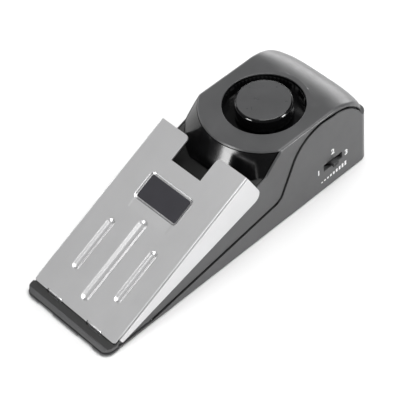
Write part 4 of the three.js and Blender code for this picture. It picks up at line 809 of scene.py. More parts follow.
@dataclass
class Wedge:
    """Sizes of the body that its shells share, and the outlines worked out from them."""

    half_length: float = 72.5
    half_width: float = 23.05
    ledge: float = 0.55
    tip_half: float = 24.05
    top: float = 40.0
    bottom: float = 0.6
    wall: float = 2.0
    gap: float = 0.3
    corner: float = 4.0
    roll: float = 20.0
    tip_inset: float = 0.3
    tip_top: float = 3.9
    lip_top: float = 1.8
    chamfer_run: float = 1.8
    chamfer_drop: float = 1.9
    tip_end: float = 6.6
    tip_solid: float = 11.5
    deck_start: float = 5.0
    deck_step: float = 1.0
    deck_angle: float = math.radians(18.9955)
    siren_from_back: float = 34.84
    tab_spacing: float = 23.0
    tab_half: float = 4.3
    drum_radius: float = 26.0
    drum_flare: float = math.radians(33.4)
    seam_lip: float = 24.4
    seam_foot: Pair = (53.0, 12.5)
    seam_foot_radius: float = 5.5
    seam_rise: float = math.radians(63)
    seam_crown_radius: float = 19.4
    seam_crown_drop: float = 1.4
    seam_roll_drop: float = 1.9
    seam_roll_end: float = math.radians(23)

    def __post_init__(self) -> None:
        """Work out the places that several outlines use."""
        self.front = -self.half_length
        self.back = self.half_length
        self.upper_back = self.back - self.tip_inset
        self.lower_half = self.half_width + self.ledge
        self.siren_y = self.back - self.siren_from_back
        self.deck_front = self.front + self.deck_start
        self.hollow_front = self.front + self.tip_solid
        self.slope = math.tan(self.drum_flare)
        self.deck_drop = self.wall / math.cos(self.deck_angle)

    def deck(self, y: float) -> float:
        """Height of the deck at a place along the body."""
        return self.tip_top - self.deck_step + math.tan(self.deck_angle) * (y - self.deck_front)

    def seam(self) -> list[Pair]:
        """The seam on the side of the body, from the tip to the back.

        Returns:
            Y and Z pairs.
        """
        foot_y, foot_z = self.back - self.seam_foot[0], self.seam_foot[1]
        lip_end = self.front + self.seam_lip
        bend, radius, rise = self.seam_foot_radius, self.seam_crown_radius, self.seam_rise
        slope = math.atan2(foot_z - self.lip_top, foot_y - lip_end)
        foot = arc(foot_y - bend * math.sin(slope), foot_z + bend * math.cos(slope), bend,
                   slope - QUARTER, rise - QUARTER, FINE_STEPS // 2)
        crown_z = self.top - self.seam_crown_drop - radius
        tangent_z = crown_z + radius * math.cos(rise)
        tangent_y = foot[-1][0] + (tangent_z - foot[-1][1]) / math.tan(rise)
        crown_y = tangent_y + radius * math.sin(rise)
        crown = arc(crown_y, crown_z, radius, QUARTER + rise, QUARTER, FINE_STEPS)
        roll = arc(self.back - self.roll, self.top - self.roll, self.roll - self.seam_roll_drop, QUARTER,
                   self.seam_roll_end, FINE_STEPS)
        return [(self.front - OVERRUN, self.lip_top), (lip_end, self.lip_top), *foot, *crown,
                *[point for point in roll if point[0] > crown_y + self.seam_roll_drop],
                (self.back + OVERRUN, roll[-1][1])]

    def below_seam(self, rise: float, half: float) -> Solid:
        """Everything below the seam.

        Args:
            rise: How far the seam is moved square to itself, upwards if positive.
            half: Half the width of the solid.

        Returns:
            The solid.
        """
        curve = self.seam()
        moved = []
        for i, (y, z) in enumerate(curve):
            before, after = curve[max(i - 1, 0)], curve[min(i + 1, len(curve) - 1)]
            step = Vector((after[0] - before[0], after[1] - before[1])).normalized()
            moved.append((y - rise * step.y, z + rise * step.x))
        floor = [(self.back + OVERRUN, -OVERRUN), (self.front - OVERRUN, -OVERRUN)]
        return Solid.side(moved + floor, half)

    def plan_solid(self, half: float, back: float, margin: float, z: Pair) -> Solid:
        """Upright prism of a shell's plan outline with a margin taken off."""
        outline = rounded(margin - half, half - margin, self.front + margin, back - margin,
                          self.corner - margin)
        return Solid.plan(outline, *z)

    def drum(self, half: float, margin: float, top: float) -> Solid:
        """The flared drum in front of the thick end.

        Args:
            half: Half the width that it is cut to.
            margin: Taken off its flared wall.
            top: Its height.

        Returns:
            The solid.
        """
        foot = self.drum_radius + self.top * self.slope - margin / math.cos(self.drum_flare)
        cone = Solid.post(0, self.siren_y, (0, top), foot, foot - top * self.slope)
        return cone.keep(Solid.band(half, (self.siren_y - foot, self.siren_y), (-PAST, top + PAST)))

    def wedge_outline(self) -> list[Pair]:
        """Side outline of the wedge under the deck, with the chamfer of the tip.

        Returns:
            Y and Z pairs.
        """
        tip = self.front + self.tip_inset
        return [(tip, -OVERRUN), (self.siren_y, -OVERRUN), (self.siren_y, self.deck(self.siren_y)),
                (self.deck_front, self.deck(self.deck_front)), (self.deck_front, self.tip_top),
                (tip + self.chamfer_run, self.tip_top), (tip, self.tip_top - self.chamfer_drop)]

    def thick_end(self, half: float, margin: float, y0: float) -> Solid:
        """The thick end, with its top rolled down into the back.

        Args:
            half: Half its width.
            margin: Taken off its top and back.
            y0: Where it starts.

        Returns:
            The solid.
        """
        back, radius = self.upper_back - margin, self.roll - margin
        roll = arc(back - radius, self.top - self.roll, radius, 0, QUARTER, FINE_STEPS)
        return Solid.side([(y0, -OVERRUN), (back, -OVERRUN), *roll, (y0, self.top - margin)], half)


@dataclass
class UpperShells(Wedge):
    """The grey upper case, and the gloss black deck with the drum and the siren's well."""

    roof_fillet: float = 1.3
    crescent_fillet: float = 0.3
    seam_shade: float = 0.25
    trim: float = 0.02
    rim_fillet: float = 0.3
    tip_fillet: float = 0.25
    body_front: float = 5.0
    fillet_hold: float = math.radians(34)
    fillet_blend: float = math.radians(36)
    crown_rise: float = 6.5
    crown_back: float = 0.3
    crown_half: float = 22.9
    crown_power: float = 4.0
    crown_steps: int = 22
    crown_end: float = 1.001
    well_radius: float = 16.8
    well_depth: float = 6.0
    sound_hole: float = 7.5
    deck_rim: float = 0.6
    roof_edge: float = 0.6
    boss_reach: float = 22.5
    hidden_end: float = -12.0
    slot_y: Pair = (-67.85, -65.7)
    hook_front: float = -69.6
    hook_roof: float = 3.15
    cone_match: float = 0.998

    def roof_width(self, middle: Vector) -> float:
        """Width of the fillet on an edge of the thick end, wider down the rolled back.

        Args:
            middle: Middle of the edge.

        Returns:
            The width, nought where the edge stays sharp.
        """
        if (abs(middle.x) < self.half_width - self.gap or middle.z < -OVERRUN + self.gap
                or middle.y < self.body_front + self.gap):
            return 0.0
        rise = max(middle.z - self.top + self.roll, 0)
        along = max(middle.y - self.upper_back + self.roll, 0)
        turned = QUARTER - math.atan2(rise, along) if along else 0.0
        share = eased((turned - self.fillet_hold) / self.fillet_blend)
        return self.roof_fillet + (self.corner - self.roof_fillet) * share

    def crowned(self, body: Solid) -> Solid:
        """Raise the middle of the rolled back, less and less towards the sides.

        Args:
            body: The thick end, with its edges rounded.

        Returns:
            The same solid.
        """
        for i in range(-self.crown_steps, self.crown_steps + 1):
            split(body.mesh, (self.crown_half * i / self.crown_steps, 0, 0), (1, 0, 0))
        for vert in body.mesh.verts:
            share = max(1 - (abs(vert.co.x) / self.crown_half) ** self.crown_power, 0)
            drop = (self.top - vert.co.z) / self.roll
            if vert.co.y > self.upper_back - self.roll - self.gap:
                vert.co.y += self.crown_back * share
                vert.co.z += self.crown_rise * share * drop if drop < self.crown_end else 0
        return body

    def outside(self) -> Solid:
        """The whole outside of both mouldings.

        Returns:
            The solid.
        """
        half, inset, levels = self.half_width, self.tip_inset, (-OVERRUN - PAST, self.top + PAST)
        body = self.crowned(self.thick_end(half, 0, self.body_front).fillet(self.corner, self.roof_width))
        reach = self.drum_radius + self.top * self.slope
        cone = Solid.post(0, self.siren_y, levels, reach + self.slope * (OVERRUN + PAST),
                          self.drum_radius - self.slope * PAST)
        behind = Solid.band(reach, (self.siren_y, self.back + reach), levels)
        body = body.keep(cone.join(behind)).tidied()
        body.round_edges(self.crescent_fillet, lambda p: p.z > self.top - NEAR and p.y < self.siren_y)
        wedge = Solid.side(self.wedge_outline(), half)
        wedge.round_edges(self.rim_fillet, lambda p: abs(p.x) > half - NEAR and p.z > self.deck(p.y) - NEAR
                          and p.y > self.deck_front + REGION)
        wedge = wedge.keep(self.plan_solid(half, self.upper_back, 0, (-OVERRUN, self.top)))
        tip_plan = rounded(inset - self.tip_half, self.tip_half - inset, self.front + inset, self.back,
                           self.corner)
        tip_end = self.front + self.tip_end
        tip = Solid.side(self.wedge_outline(), self.tip_half)
        tip = tip.keep(Solid.plan(tip_plan, -PAST, self.top),
                       Solid.band(self.tip_half, (self.front, tip_end), (-PAST, self.top))).tidied()
        tip.round_edges(self.tip_fillet, lambda p: p.z > self.lip_top + REGION and p.y < tip_end - REGION)
        return body.join(wedge, tip)

    def hollow(self, margin: float) -> Solid:
        """The hollow of both mouldings, or its middle where the margin is larger than the wall.

        Args:
            margin: Taken off the outside.

        Returns:
            The solid.
        """
        half = self.half_width - margin
        start = self.hollow_front + margin - self.wall
        drop = self.deck_drop + margin - self.wall
        end = self.siren_y
        under = Solid.side([(start, -OVERRUN), (end, -OVERRUN), (end, self.deck(end) - drop),
                            (start, self.deck(start) - drop)], half)
        corner = self.siren_y - math.sqrt(self.drum_radius ** 2 - self.half_width ** 2)
        rear = self.thick_end(half, margin, corner + margin)
        clip = self.plan_solid(self.half_width, self.upper_back, margin, (-OVERRUN, self.top))
        return under.join(rear, self.drum(half, margin, self.top - margin)).keep(clip)

    def whole(self) -> Solid:
        """Both mouldings in one, cut at the seam, with the well, its hole and the tabs' slots.

        Returns:
            The solid.
        """
        floor = self.top - self.well_depth
        well = Solid.post(0, self.siren_y, (floor - self.wall, self.top), self.well_radius + self.wall)
        shell = self.outside().cut(self.hollow(self.wall)).join(well)
        levels = (-OVERRUN - PAST, self.top)
        spared = self.plan_solid(self.half_width, self.upper_back, self.wall + self.trim, levels)
        spared = spared.keep(Solid.band(self.half_width, (self.hollow_front, self.back), levels))
        below = self.below_seam(self.gap / 2 + self.seam_shade, self.tip_half + OVERRUN).cut(spared)
        slots = [Solid.block((x - self.tab_half, x + self.tab_half), along, (-PAST, roof))
                 for x in (-self.tab_spacing / 2, self.tab_spacing / 2)
                 for along, roof in ((self.slot_y, self.top),
                                     ((self.hook_front, self.slot_y[1]), self.hook_roof))]
        well_cut = Solid.post(0, self.siren_y, (floor, self.top + PAST), self.well_radius)
        hole = Solid.post(0, self.siren_y, (0, self.top), self.sound_hole)
        return shell.cut(below, *slots, well_cut, hole)

    def deck_zone(self, gap: float) -> Solid:
        """The space of the black moulding.

        Args:
            gap: How far it is grown.

        Returns:
            The space.
        """
        spare, sunk = gap - self.gap, -self.deck_drop - gap
        half, inner_half = self.half_width - self.deck_rim + spare, self.half_width - self.wall + spare
        edge_top, inner_top = self.top - self.roof_edge + spare, self.top - self.wall + spare
        start = self.hollow_front - spare
        places = ((start, sunk), (self.siren_y, sunk), (self.siren_y, self.wall), (start, self.wall))
        core = self.drum(half, self.wall + gap, self.top)
        slab = Solid.side([(y, self.deck(y) + rise) for y, rise in places], half).cut(core)
        shell = self.drum(half, -gap, edge_top).cut(core)
        inner = Solid.band(inner_half, (start, self.siren_y), (0, inner_top))
        well = Solid.post(0, self.siren_y, (0, edge_top), self.well_radius + self.wall + gap)
        bosses = Solid.post(0, self.siren_y, (0, inner_top), self.boss_reach + gap).keep(
            Solid.band(inner_half, (0, self.back), (-PAST, inner_top + PAST)))
        return slab.join(shell, inner, well, bosses)

    def build(self) -> None:
        """Make both pieces."""
        whole = self.whole()
        middle = self.hollow(self.wall - OVERLAP)
        case = whole.cut(self.deck_zone(self.gap)).tidied()
        case.round_edges(self.crescent_fillet, lambda p: p.z > self.top - NEAR
                         and abs(math.hypot(p.x, p.y - self.siren_y) - self.well_radius) < REGION)
        case.join(Solid.of_node("upper_case").keep(middle)).piece(
            "upper_case_cover", CASE_GREY, "case_grey", "upper_case")
        node = Solid.of_node("siren_deck")
        front = Solid.band(self.tip_half, (self.front, self.hidden_end), (-PAST, self.top))
        deck = whole.keep(self.deck_zone(0)).cut(front).join(node.keep(front), node.keep(middle))
        self.even_drum(deck.piece("gloss_siren_deck", GLOSS_BLACK, "gloss_black", "siren_deck"))

    def even_drum(self, deck: bpy.types.Object) -> None:
        """Give the wall of the drum the normals of a true cone.

        Args:
            deck: The finished black piece.
        """
        def normal(place: Vector) -> Vector:
            """Normal of the cone on the side where a place lies."""
            away = Vector((place.x, place.y - self.siren_y * MM, 0)).normalized()
            return away * math.cos(self.drum_flare) + Vector((0, 0, math.sin(self.drum_flare)))

        deck.modifiers.clear()
        data = deck.data
        normals = [Vector() for _ in data.loops]
        for face in data.polygons:
            if face.normal.dot(normal(face.center)) > self.cone_match:
                for i in face.loop_indices:
                    normals[i] = normal(data.vertices[data.loops[i].vertex_index].co)
        data.normals_split_custom_set(normals)


@dataclass
class LowerShell(Wedge):
    """The grey lower case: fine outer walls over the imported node's inner walls and bosses."""

    seam_shade: float = 0.2
    seam_fillet: float = 0.3
    shadow_depth: float = 1.3
    shadow_end: float = 67.5
    bottom_fillet: float = 0.5
    foot_fillet: float = 2.0
    skin: float = 1.0
    slot_middle: Pair = (51.9, 12.4)
    slot_size: Pair = (10.6, 3.6)
    slot_edge: float = 0.2
    door_half: float = 14.1
    tongue_half: float = 15.3
    tongue_bottom: float = 1.2
    door_top: float = 2.7

    def outside(self) -> Solid:
        """The outer form with its rounded seam and bottom edges.

        Returns:
            The solid.
        """
        half, back, bend = self.lower_half, self.back, self.foot_fillet
        drop = -self.gap / 2 - self.seam_shade
        foot = arc(back - bend, self.bottom + bend, bend, -QUARTER, 0, CORNER_STEPS)
        outline = [(self.front, self.bottom), *foot, (back, self.top), (self.front, self.top)]
        walls = self.plan_solid(half, back, 0, (self.bottom, self.top))
        walls = walls.keep(self.below_seam(drop, half), Solid.side(outline, half)).tidied()
        tip = Solid.plan(rounded(-self.tip_half, self.tip_half, self.front, back, self.corner),
                         self.bottom, self.top)
        ends = (self.front - PAST, self.front + self.tip_end)
        tip = tip.keep(self.below_seam(drop, self.tip_half),
                       Solid.band(self.tip_half, ends, (-PAST, self.top)))
        for form in (walls, tip):
            form.round_edges(self.seam_fillet, lambda p: p.z > self.lip_top - self.gap)
            form.round_edges(self.bottom_fillet, lambda p: p.z < self.bottom + NEAR and p.y < back - bend)
        return walls.join(tip)

    def shadow_gap(self) -> Solid:
        """The deep groove behind the lip of the side walls, right under the upper shell's edge.

        Returns:
            The space of the groove.
        """
        half = self.half_width
        seam = Solid.band(half, (self.front + self.seam_lip, self.shadow_end), (0, self.top))
        inside = Solid.band(half - self.wall, (self.front, self.back), (-PAST, self.top + PAST))
        under = self.below_seam(-self.shadow_depth, half + PAST)
        return self.below_seam(self.gap, half).cut(under).keep(seam).cut(inside)

    def build(self) -> None:
        """Make the piece."""
        core, middle = (self.plan_solid(self.lower_half, self.back, margin, (-PAST, self.top + PAST))
                        for margin in (self.skin, self.skin - OVERLAP))
        y, z = self.slot_middle
        length, height = self.slot_size
        slot = Solid.block((self.half_width - self.wall, self.lower_half + PAST),
                           (y - length / 2, y + length / 2), (z - height / 2, z + height / 2))
        doors = [Solid.band(half, (self.back - self.wall - PAST, self.back + PAST), (low, self.door_top))
                 for half, low in ((self.door_half, 0), (self.tongue_half, self.tongue_bottom))]
        notches = [Solid.block((x - self.tab_half, x + self.tab_half),
                               (self.front - PAST, self.front + self.tip_inset), (-PAST, self.top))
                   for x in (-self.tab_spacing / 2, self.tab_spacing / 2)]
        skin = self.outside().cut(core, slot, *doors, *notches)
        skin.round_edges(self.slot_edge, lambda p: p.x > self.lower_half - NEAR
                         and abs(p.y - y) < length / 2 + REGION and abs(p.z - z) < height / 2 + REGION, 2)
        case = skin.join(Solid.of_node("lower_case").keep(middle)).cut(self.shadow_gap())
        case.piece("lower_case_shell", CASE_GREY, "case_grey", "lower_case")


@dataclass
class PressurePlate:
    """The steel plate, pressed and folded from one flat blank, and the name plate in its recess."""

    hinge: Pair = (-67.3, 3.4)
    angle: float = math.radians(26.1478)
    half: float = 24.05
    face: float = 1.1
    front: float = 0.5
    back: float = 81.04
    thickness: float = 0.7
    bend: float = 1.0
    edge: float = 0.12
    front_corner: float = 1.3
    front_half: float = 23.35
    flange_front: float = 3.0
    flange_depths: Pair = (3.0, 15.8)
    flange_corner: float = 4.0
    notch: Pair = (8.1, 11.4)
    prong_corner: float = 2.0
    grooves: tuple[tuple[float, ...], ...] = (
        (-12.2, 13.0, 25.0, 4.2), (0.0, 5.7, 39.4, 4.9), (12.2, 13.0, 25.0, 4.2))
    groove_depth: float = 0.7
    groove_wall: float = 1.25
    label: Triple = (21.4, 10.6, 0.8)
    label_along: float = 55.8
    label_levels: Pair = (0.52, 0.98)
    label_edge: float = 0.1
    rim: Pair = (0.3, 1.2)
    rim_inside: float = 0.9
    recess_depth: float = 0.6
    tabs: Pair = (-11.5, 11.5)
    tab_half: float = 3.9
    tab_relief: float = 0.3
    tab_root: float = 1.276
    tab_bend: float = 0.35
    tab_leg: float = 0.852
    tab_hook: float = 1.65
    tab_steps: tuple[int, ...] = (8, 1, 6, 1)
    mesh_step: float = 0.26
    fold_angle: float = math.radians(60)

    def __post_init__(self) -> None:
        """Work out the fold lines of the blank."""
        self.flat_half = self.half - self.bend
        self.arc_length = self.bend * QUARTER
        self.tab_turn = QUARTER - self.angle
        self.tab_parts = (self.bend * self.tab_turn, self.tab_leg, self.tab_bend * QUARTER, self.tab_hook)

    def blank_x(self, depth: float) -> float:
        """Place across the blank of a point on a flange, from its depth below the face."""
        return self.flat_half + self.arc_length + depth - self.bend

    def right_side(self) -> list[Pair]:
        """Outline of the blank's right half, from the front edge back to the notch.

        Returns:
            X and Y pairs.
        """
        shallow, deep = self.flange_depths
        low, corner = self.blank_x(deep), self.flange_corner
        start = (self.blank_x(shallow), self.flange_front)
        lean = math.atan2(low - start[0], self.back - start[1])
        half, depth = self.notch
        front, prong = self.front_corner, self.prong_corner
        return [*arc(self.front_half - front, self.front + front, front, -QUARTER, 0, CORNER_STEPS),
                (self.front_half, self.flange_front), start,
                *arc(low - corner, self.back - corner, corner, -lean, QUARTER, CORNER_STEPS),
                *arc(half + prong, self.back - prong, prong, QUARTER, math.pi, CORNER_STEPS),
                (half, self.back - depth)]

    def front_edge(self) -> list[Pair]:
        """Front edge of the blank with its two tabs, from left to right.

        Returns:
            X and Y pairs.
        """
        end = self.tab_root - sum(self.tab_parts)
        outer, inner = self.tab_half + self.tab_relief, self.tab_half
        half = ((outer, self.front), (outer, self.tab_root), (inner, self.tab_root), (inner, end))
        return [point for x in self.tabs
                for point in [*((x - away, y) for away, y in half),
                              *((x + away, y) for away, y in reversed(half))]]

    def blank(self) -> bmesh.types.BMesh:
        """The flat blank, cut into a fine grid where it is pressed or folded.

        Returns:
            Its mesh.
        """
        right = self.right_side()
        left = [(-x, y) for x, y in reversed(right)]
        mesh = bmesh.new()
        mesh.faces.new([mesh.verts.new((x, y, 0)) for x, y in self.front_edge() + right + left])
        step = self.mesh_step
        reach = self.rim[1] + step
        across, along = set(), set()
        for x, start, length, size in self.grooves:
            across |= self.lines(x - size / 2 - step, x + size / 2 + step)
            for end in (start - step, start + length - size / 2):
                along |= self.lines(end, end + size / 2 + step)
        for side in (-1, 1):
            for places, middle, size in ((across, 0, self.label[0]),
                                         (along, self.label_along, self.label[1])):
                edge = middle + side * size / 2
                places |= self.lines(edge - self.rim_inside, edge + reach)
            across |= {side * (self.flat_half + self.arc_length * i / CORNER_STEPS)
                       for i in range(CORNER_STEPS + 1)}
        rolled = self.tab_root
        for part, steps in zip(self.tab_parts, self.tab_steps):
            along |= {rolled - part * i / steps for i in range(steps + 1)}
            rolled -= part
        for x in sorted(across):
            split(mesh, (x, 0, 0), (1, 0, 0))
        for y in sorted(along):
            split(mesh, (0, y, 0), (0, 1, 0))
        return mesh

    def lines(self, low: float, high: float) -> set[float]:
        """Evenly spaced places over a range, at most a step of the mesh apart."""
        count = math.ceil((high - low) / self.mesh_step)
        return {round(low + (high - low) * i / count, 4) for i in range(count + 1)}

    def pressed(self, x: float, y: float) -> float:
        """Depth of the pressings.

        Args:
            x, y: Place on the blank.

        Returns:
            How far the sheet is pressed down there.
        """
        for middle, start, length, size in self.grooves:
            radius = size / 2
            spine = min(max(y, start + radius), start + length - radius)
            away = math.hypot(x - middle, y - spine) / radius
            if away < 1:
                return self.groove_depth * eased((1 - away) * self.groove_wall)
        width, depth, corner = self.label
        dx = abs(x) - width / 2 + corner
        dy = abs(y - self.label_along) - depth / 2 + corner
        outside = math.hypot(max(dx, 0), max(dy, 0)) + min(max(dx, dy), 0) - corner
        return self.recess_depth * eased((self.rim[1] - outside) / (self.rim[1] - self.rim[0]))

    def folded(self, x: float, y: float) -> Vector:
        """Fold a point of the blank's top face.

        Args:
            x, y: Its place on the blank.

        Returns:
            Its place in the plate's own frame.
        """
        if y < self.tab_root and min(abs(x - tab) for tab in self.tabs) < self.tab_half + NEAR:
            return self.tab_point(x, self.tab_root - y)
        past = abs(x) - self.flat_half
        if past <= 0:
            return Vector((x, y, self.face - self.pressed(x, y)))
        side = math.copysign(1, x)
        turned = min(past / self.bend, QUARTER)
        down = max(past - self.arc_length, 0)
        return Vector((side * (self.flat_half + self.bend * math.sin(turned)), y,
                       self.face - self.bend * (1 - math.cos(turned)) - down))

    def tab_point(self, x: float, run: float) -> Vector:
        """Roll a point of a tab.

        Args:
            x: Its place across the plate.
            run: Its distance along the tab.

        Returns:
            Its place in the plate's own frame.
        """
        place = Vector((self.tab_root, self.face))
        heading = math.pi
        for part, turn in zip(self.tab_parts, (self.tab_turn, 0.0, -QUARTER, 0.0)):
            share = min(max(run / part, 0), 1)
            if turn:
                radius = part / abs(turn)
                side = math.copysign(1, turn)
                centre = place + radius * side * Vector((-math.sin(heading), math.cos(heading)))
                heading += turn * share
                place = centre + radius * side * Vector((math.sin(heading), -math.cos(heading)))
            else:
                place = place + part * share * Vector((math.cos(heading), math.sin(heading)))
            run -= part
        return Vector((x, place.x, place.y))

    def to_body(self) -> Matrix:
        """Matrix from the plate's own frame to the body's."""
        return Matrix.Translation((0, *self.hinge)) @ Matrix.Rotation(self.angle, 4, "X")

    def build(self) -> None:
        """Make the plate and the name plate."""
        mesh = self.blank()
        for vert in mesh.verts:
            vert.co = self.folded(vert.co.x, vert.co.y)
        mesh.transform(self.to_body())
        mesh.normal_update()
        plate = Solid(mesh).piece("folded_steel_plate", PLATE_STEEL, "plate_steel", "pressure_plate",
                                  body=Body.PLATE)
        plate.modifiers.clear()
        sheet = plate.modifiers.new("sheet", "SOLIDIFY")
        sheet.thickness = self.thickness * MM
        sheet.offset = -1
        sheet.use_even_offset = True
        edge = plate.modifiers.new("deburred_edge", "BEVEL")
        edge.width = self.edge * MM
        edge.segments = 2
        edge.limit_method = "ANGLE"
        edge.angle_limit = self.fold_angle
        plate.modifiers.new("even_shading", "WEIGHTED_NORMAL").keep_sharp = True
        width, depth, corner = self.label
        label = Solid.plan(rounded(-width / 2, width / 2, self.label_along - depth / 2,
                                   self.label_along + depth / 2, corner), *self.label_levels)
        label.round_edges(self.label_edge, lambda p: p.z > self.label_levels[1] - NEAR, 2)
        label.move(self.to_body()).piece("bare_name_plate", NAME_PLATE, "name_plate_violet", "name_plate",
                                         body=Body.PLATE)


@dataclass
class ReturnSprings:
    """The two coil springs between the plate and the deck."""

    radius: float = 2.6
    wire: float = 0.35
    across: float = 15.5
    along: float = -26.294
    turns: float = 4.0
    wire_sides: int = 12
    steps_per_turn: int = 36
    shortening: float = 0.667

    def build(self) -> None:
        """Make both springs in the places of their nodes."""
        for name, x in (("left", -self.across), ("right", self.across)):
            low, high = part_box(f"return_spring_{name}")
            mesh = bmesh.new()
            start = Matrix.Translation((x + self.radius, self.along, low.z / MM + self.wire))
            ring = bmesh.ops.create_circle(mesh, cap_ends=True, segments=self.wire_sides, radius=self.wire,
                                           matrix=start @ Matrix.Rotation(QUARTER, 4, "X"))["verts"]
            steps = int(self.turns * self.steps_per_turn)
            climb = ((high.z - low.z) / MM - 2 * self.wire) / steps
            faces = list({face for vert in ring for face in vert.link_faces})
            bmesh.ops.spin(mesh, geom=faces + ring, cent=(x, self.along, 0), axis=(0, 0, 1),
                           dvec=(0, 0, climb), angle=2 * math.pi * self.turns, steps=steps)
            spring = Solid(mesh).faced().piece(f"coiled_spring_{name}", SPRING_WIRE, "spring_steel",
                                               f"return_spring_{name}")
            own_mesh(spring)


@dataclass
class SirenCap:
    """The round cap over the siren: a gloss black cup with a grey disc let into its top."""

    radius: float = 11.8
    wall: float = 1.4
    edge: tuple[Pair, ...] = ((90, 0.3), (46, 2.4), (22, 0.3), (0, 0))
    disc_radius: float = 10.95
    disc_depth: float = 0.5
    disc_edge: float = 0.16
    disc_gap: float = 0.03
    disc_lift: float = 0.02
    skirt_bottom: float = 35.8
    foot_bottom: float = 34.3
    foot_radius: float = 1.2
    feet: int = 3

    def shoulder(self, top: float) -> list[Pair]:
        """Rounding from the cup's wall up to its top, in arcs of different radii.

        Args:
            top: Height of the cap.

        Returns:
            Radius and height pairs.
        """
        u, v = self.disc_radius, top
        points = [(u, v)]
        for (high, radius), (low, _) in zip(self.edge, self.edge[1:]):
            start, end = math.radians(high), math.radians(low)
            bend = arc(u - radius * math.cos(start), v - radius * math.sin(start), radius, start, end,
                       CORNER_STEPS)
            points += bend[1:]
            u, v = bend[-1]
        spread = (self.radius - self.disc_radius) / (u - self.disc_radius)
        return [(self.disc_radius + (u - self.disc_radius) * spread, v) for u, v in reversed(points)]

    def build(self) -> None:
        """Make the cup and its disc."""
        low, high = limits("siren_cap")
        y, top = (low.y + high.y) / 2, high.z
        inner, shelf, roof = self.radius - self.wall, top - self.disc_depth, top - self.wall
        cup = Solid.turned(0, y, [(0, roof), (inner, roof), (inner, self.skirt_bottom),
                                  (self.radius, self.skirt_bottom), *self.shoulder(top),
                                  (self.disc_radius, shelf), (0, shelf)])
        ring = Solid.turned(0, y, [(inner, 0), (self.radius, 0), (self.radius, top), (inner, top)])
        places = arc(0, y, self.radius - self.wall / 2, QUARTER, QUARTER + 2 * math.pi, self.feet)
        feet = [Solid.post(*place, (self.foot_bottom, self.skirt_bottom + self.wall), self.foot_radius,
                           segments=SMALL_SEGMENTS).keep(ring) for place in places[:-1]]
        cup.join(*feet).piece("siren_cap_cup", CAP_BLACK, "gloss_black", "siren_cap")
        reach, bend, under = self.disc_radius - self.disc_gap, self.disc_edge, shelf + self.disc_lift
        rim = arc(reach - bend, top - bend, bend, 0, QUARTER, SMALL_STEPS)
        disc = Solid.turned(0, y, [(0, under), (reach, under), *rim, (0, top)])
        disc.piece("siren_cap_disc", CAP_GREY, "cap_grey", "siren_cap")


@dataclass
class SideSwitch:
    """The sensitivity knob in its slot, and the white marks printed beside it."""

    side: float = 23.6
    knob: Pair = (3.1, 2.2)
    knob_edge: float = 0.35
    knob_depth: float = 1.6
    foot_depth: float = 1.5
    ridge: Pair = (0.45, 0.3)
    ridges: int = 3
    digits: tuple[tuple[str, float, float], ...] = (
        ("1", 43.6, 12.0), ("2", 51.8, 18.4), ("3", 59.5, 12.2))
    digit_height: float = 2.6
    digit_share: float = 0.7
    digit_weight: float = 0.11
    ink: float = 0.04
    ramp_y: Pair = (45.4, 59.0)
    ramp_z: float = 6.2
    ramp_bars: int = 9
    ramp_heights: Pair = (0.5, 2.4)
    bar_share: float = 0.55

    def build(self) -> None:
        """Make the knob, the digits and the ramp of bars."""
        low, high = limits("sensitivity_slider")
        length, height = self.knob
        width, depth = self.ridge
        y, z = (low.y + high.y) / 2, (low.z + high.z) / 2
        knob = Solid.block((self.side - self.knob_depth, high.x), (y - length / 2, y + length / 2),
                           (z - height / 2, z + height / 2))
        foot_top = self.side - self.foot_depth
        knob.round_edges(self.knob_edge, lambda p: p.x > foot_top, SMALL_STEPS)
        pitch = length / (self.ridges + 1)
        deep = (high.x - depth, high.x + PAST)
        grooves = [Solid.block(deep, (at - width / 2, at + width / 2), (0, z * 2))
                   for at in (y - length / 2 + pitch * (i + 1) for i in range(self.ridges))]
        foot = Solid.of_node("sensitivity_slider").keep(
            Solid.block((0, foot_top), (low.y - PAST, high.y + PAST), (low.z - PAST, high.z + PAST)))
        # The foot in the slot is near black, as painted shade of the slot
        for form, name, finish in ((knob.cut(*grooves), "ridged_sensitivity_knob", KNOB_BLACK),
                                   (foot, "sensitivity_knob_foot", FOOT_SLOT_SHADE)):
            form.piece(name, finish, "knob_black", "sensitivity_slider", body=Body.SENSITIVITY)
        for digit in self.digits:
            self.printed(*digit)
        self.ramp()

    def printed(self, digit: str, y: float, z: float) -> None:
        """Print one digit on the side wall.

        Args:
            digit: The digit.
            y, z: Its middle.
        """
        curve = bpy.data.curves.new("digit", "FONT")
        curve.body = digit
        curve.size = self.digit_height / self.digit_share
        curve.align_x = "CENTER"
        curve.align_y = "CENTER"
        curve.extrude = self.ink
        curve.offset = self.digit_weight
        shown = placed("digit", curve).evaluated_get(bpy.context.evaluated_depsgraph_get())
        mesh = bmesh.new()
        mesh.from_mesh(shown.to_mesh())
        bpy.data.curves.remove(curve)
        turn = Matrix(((0, 0, 1, self.side), (1, 0, 0, y), (0, 1, 0, z), (0, 0, 0, 1)))
        Solid(mesh).move(turn).piece(f"switch_digit_{digit}", PRINT_WHITE, "case_grey")

    def ramp(self) -> None:
        """Print a row of bars that grow from the first position to the last."""
        (start, end), (low, high), steps = self.ramp_y, self.ramp_heights, self.ramp_bars - 1
        pitch = (end - start) / steps
        mesh = bmesh.new()
        for i in range(self.ramp_bars):
            height = low + (high - low) * i / steps
            spans = Matrix.Diagonal((2 * self.ink, pitch * self.bar_share, height, 1))
            place = Matrix.Translation((self.side, start + pitch * i, self.ramp_z + height / 2 - high / 2))
            bmesh.ops.create_cube(mesh, size=1, matrix=place @ spans)
        Solid(mesh).piece("switch_ramp_bars", PRINT_WHITE, "case_grey")


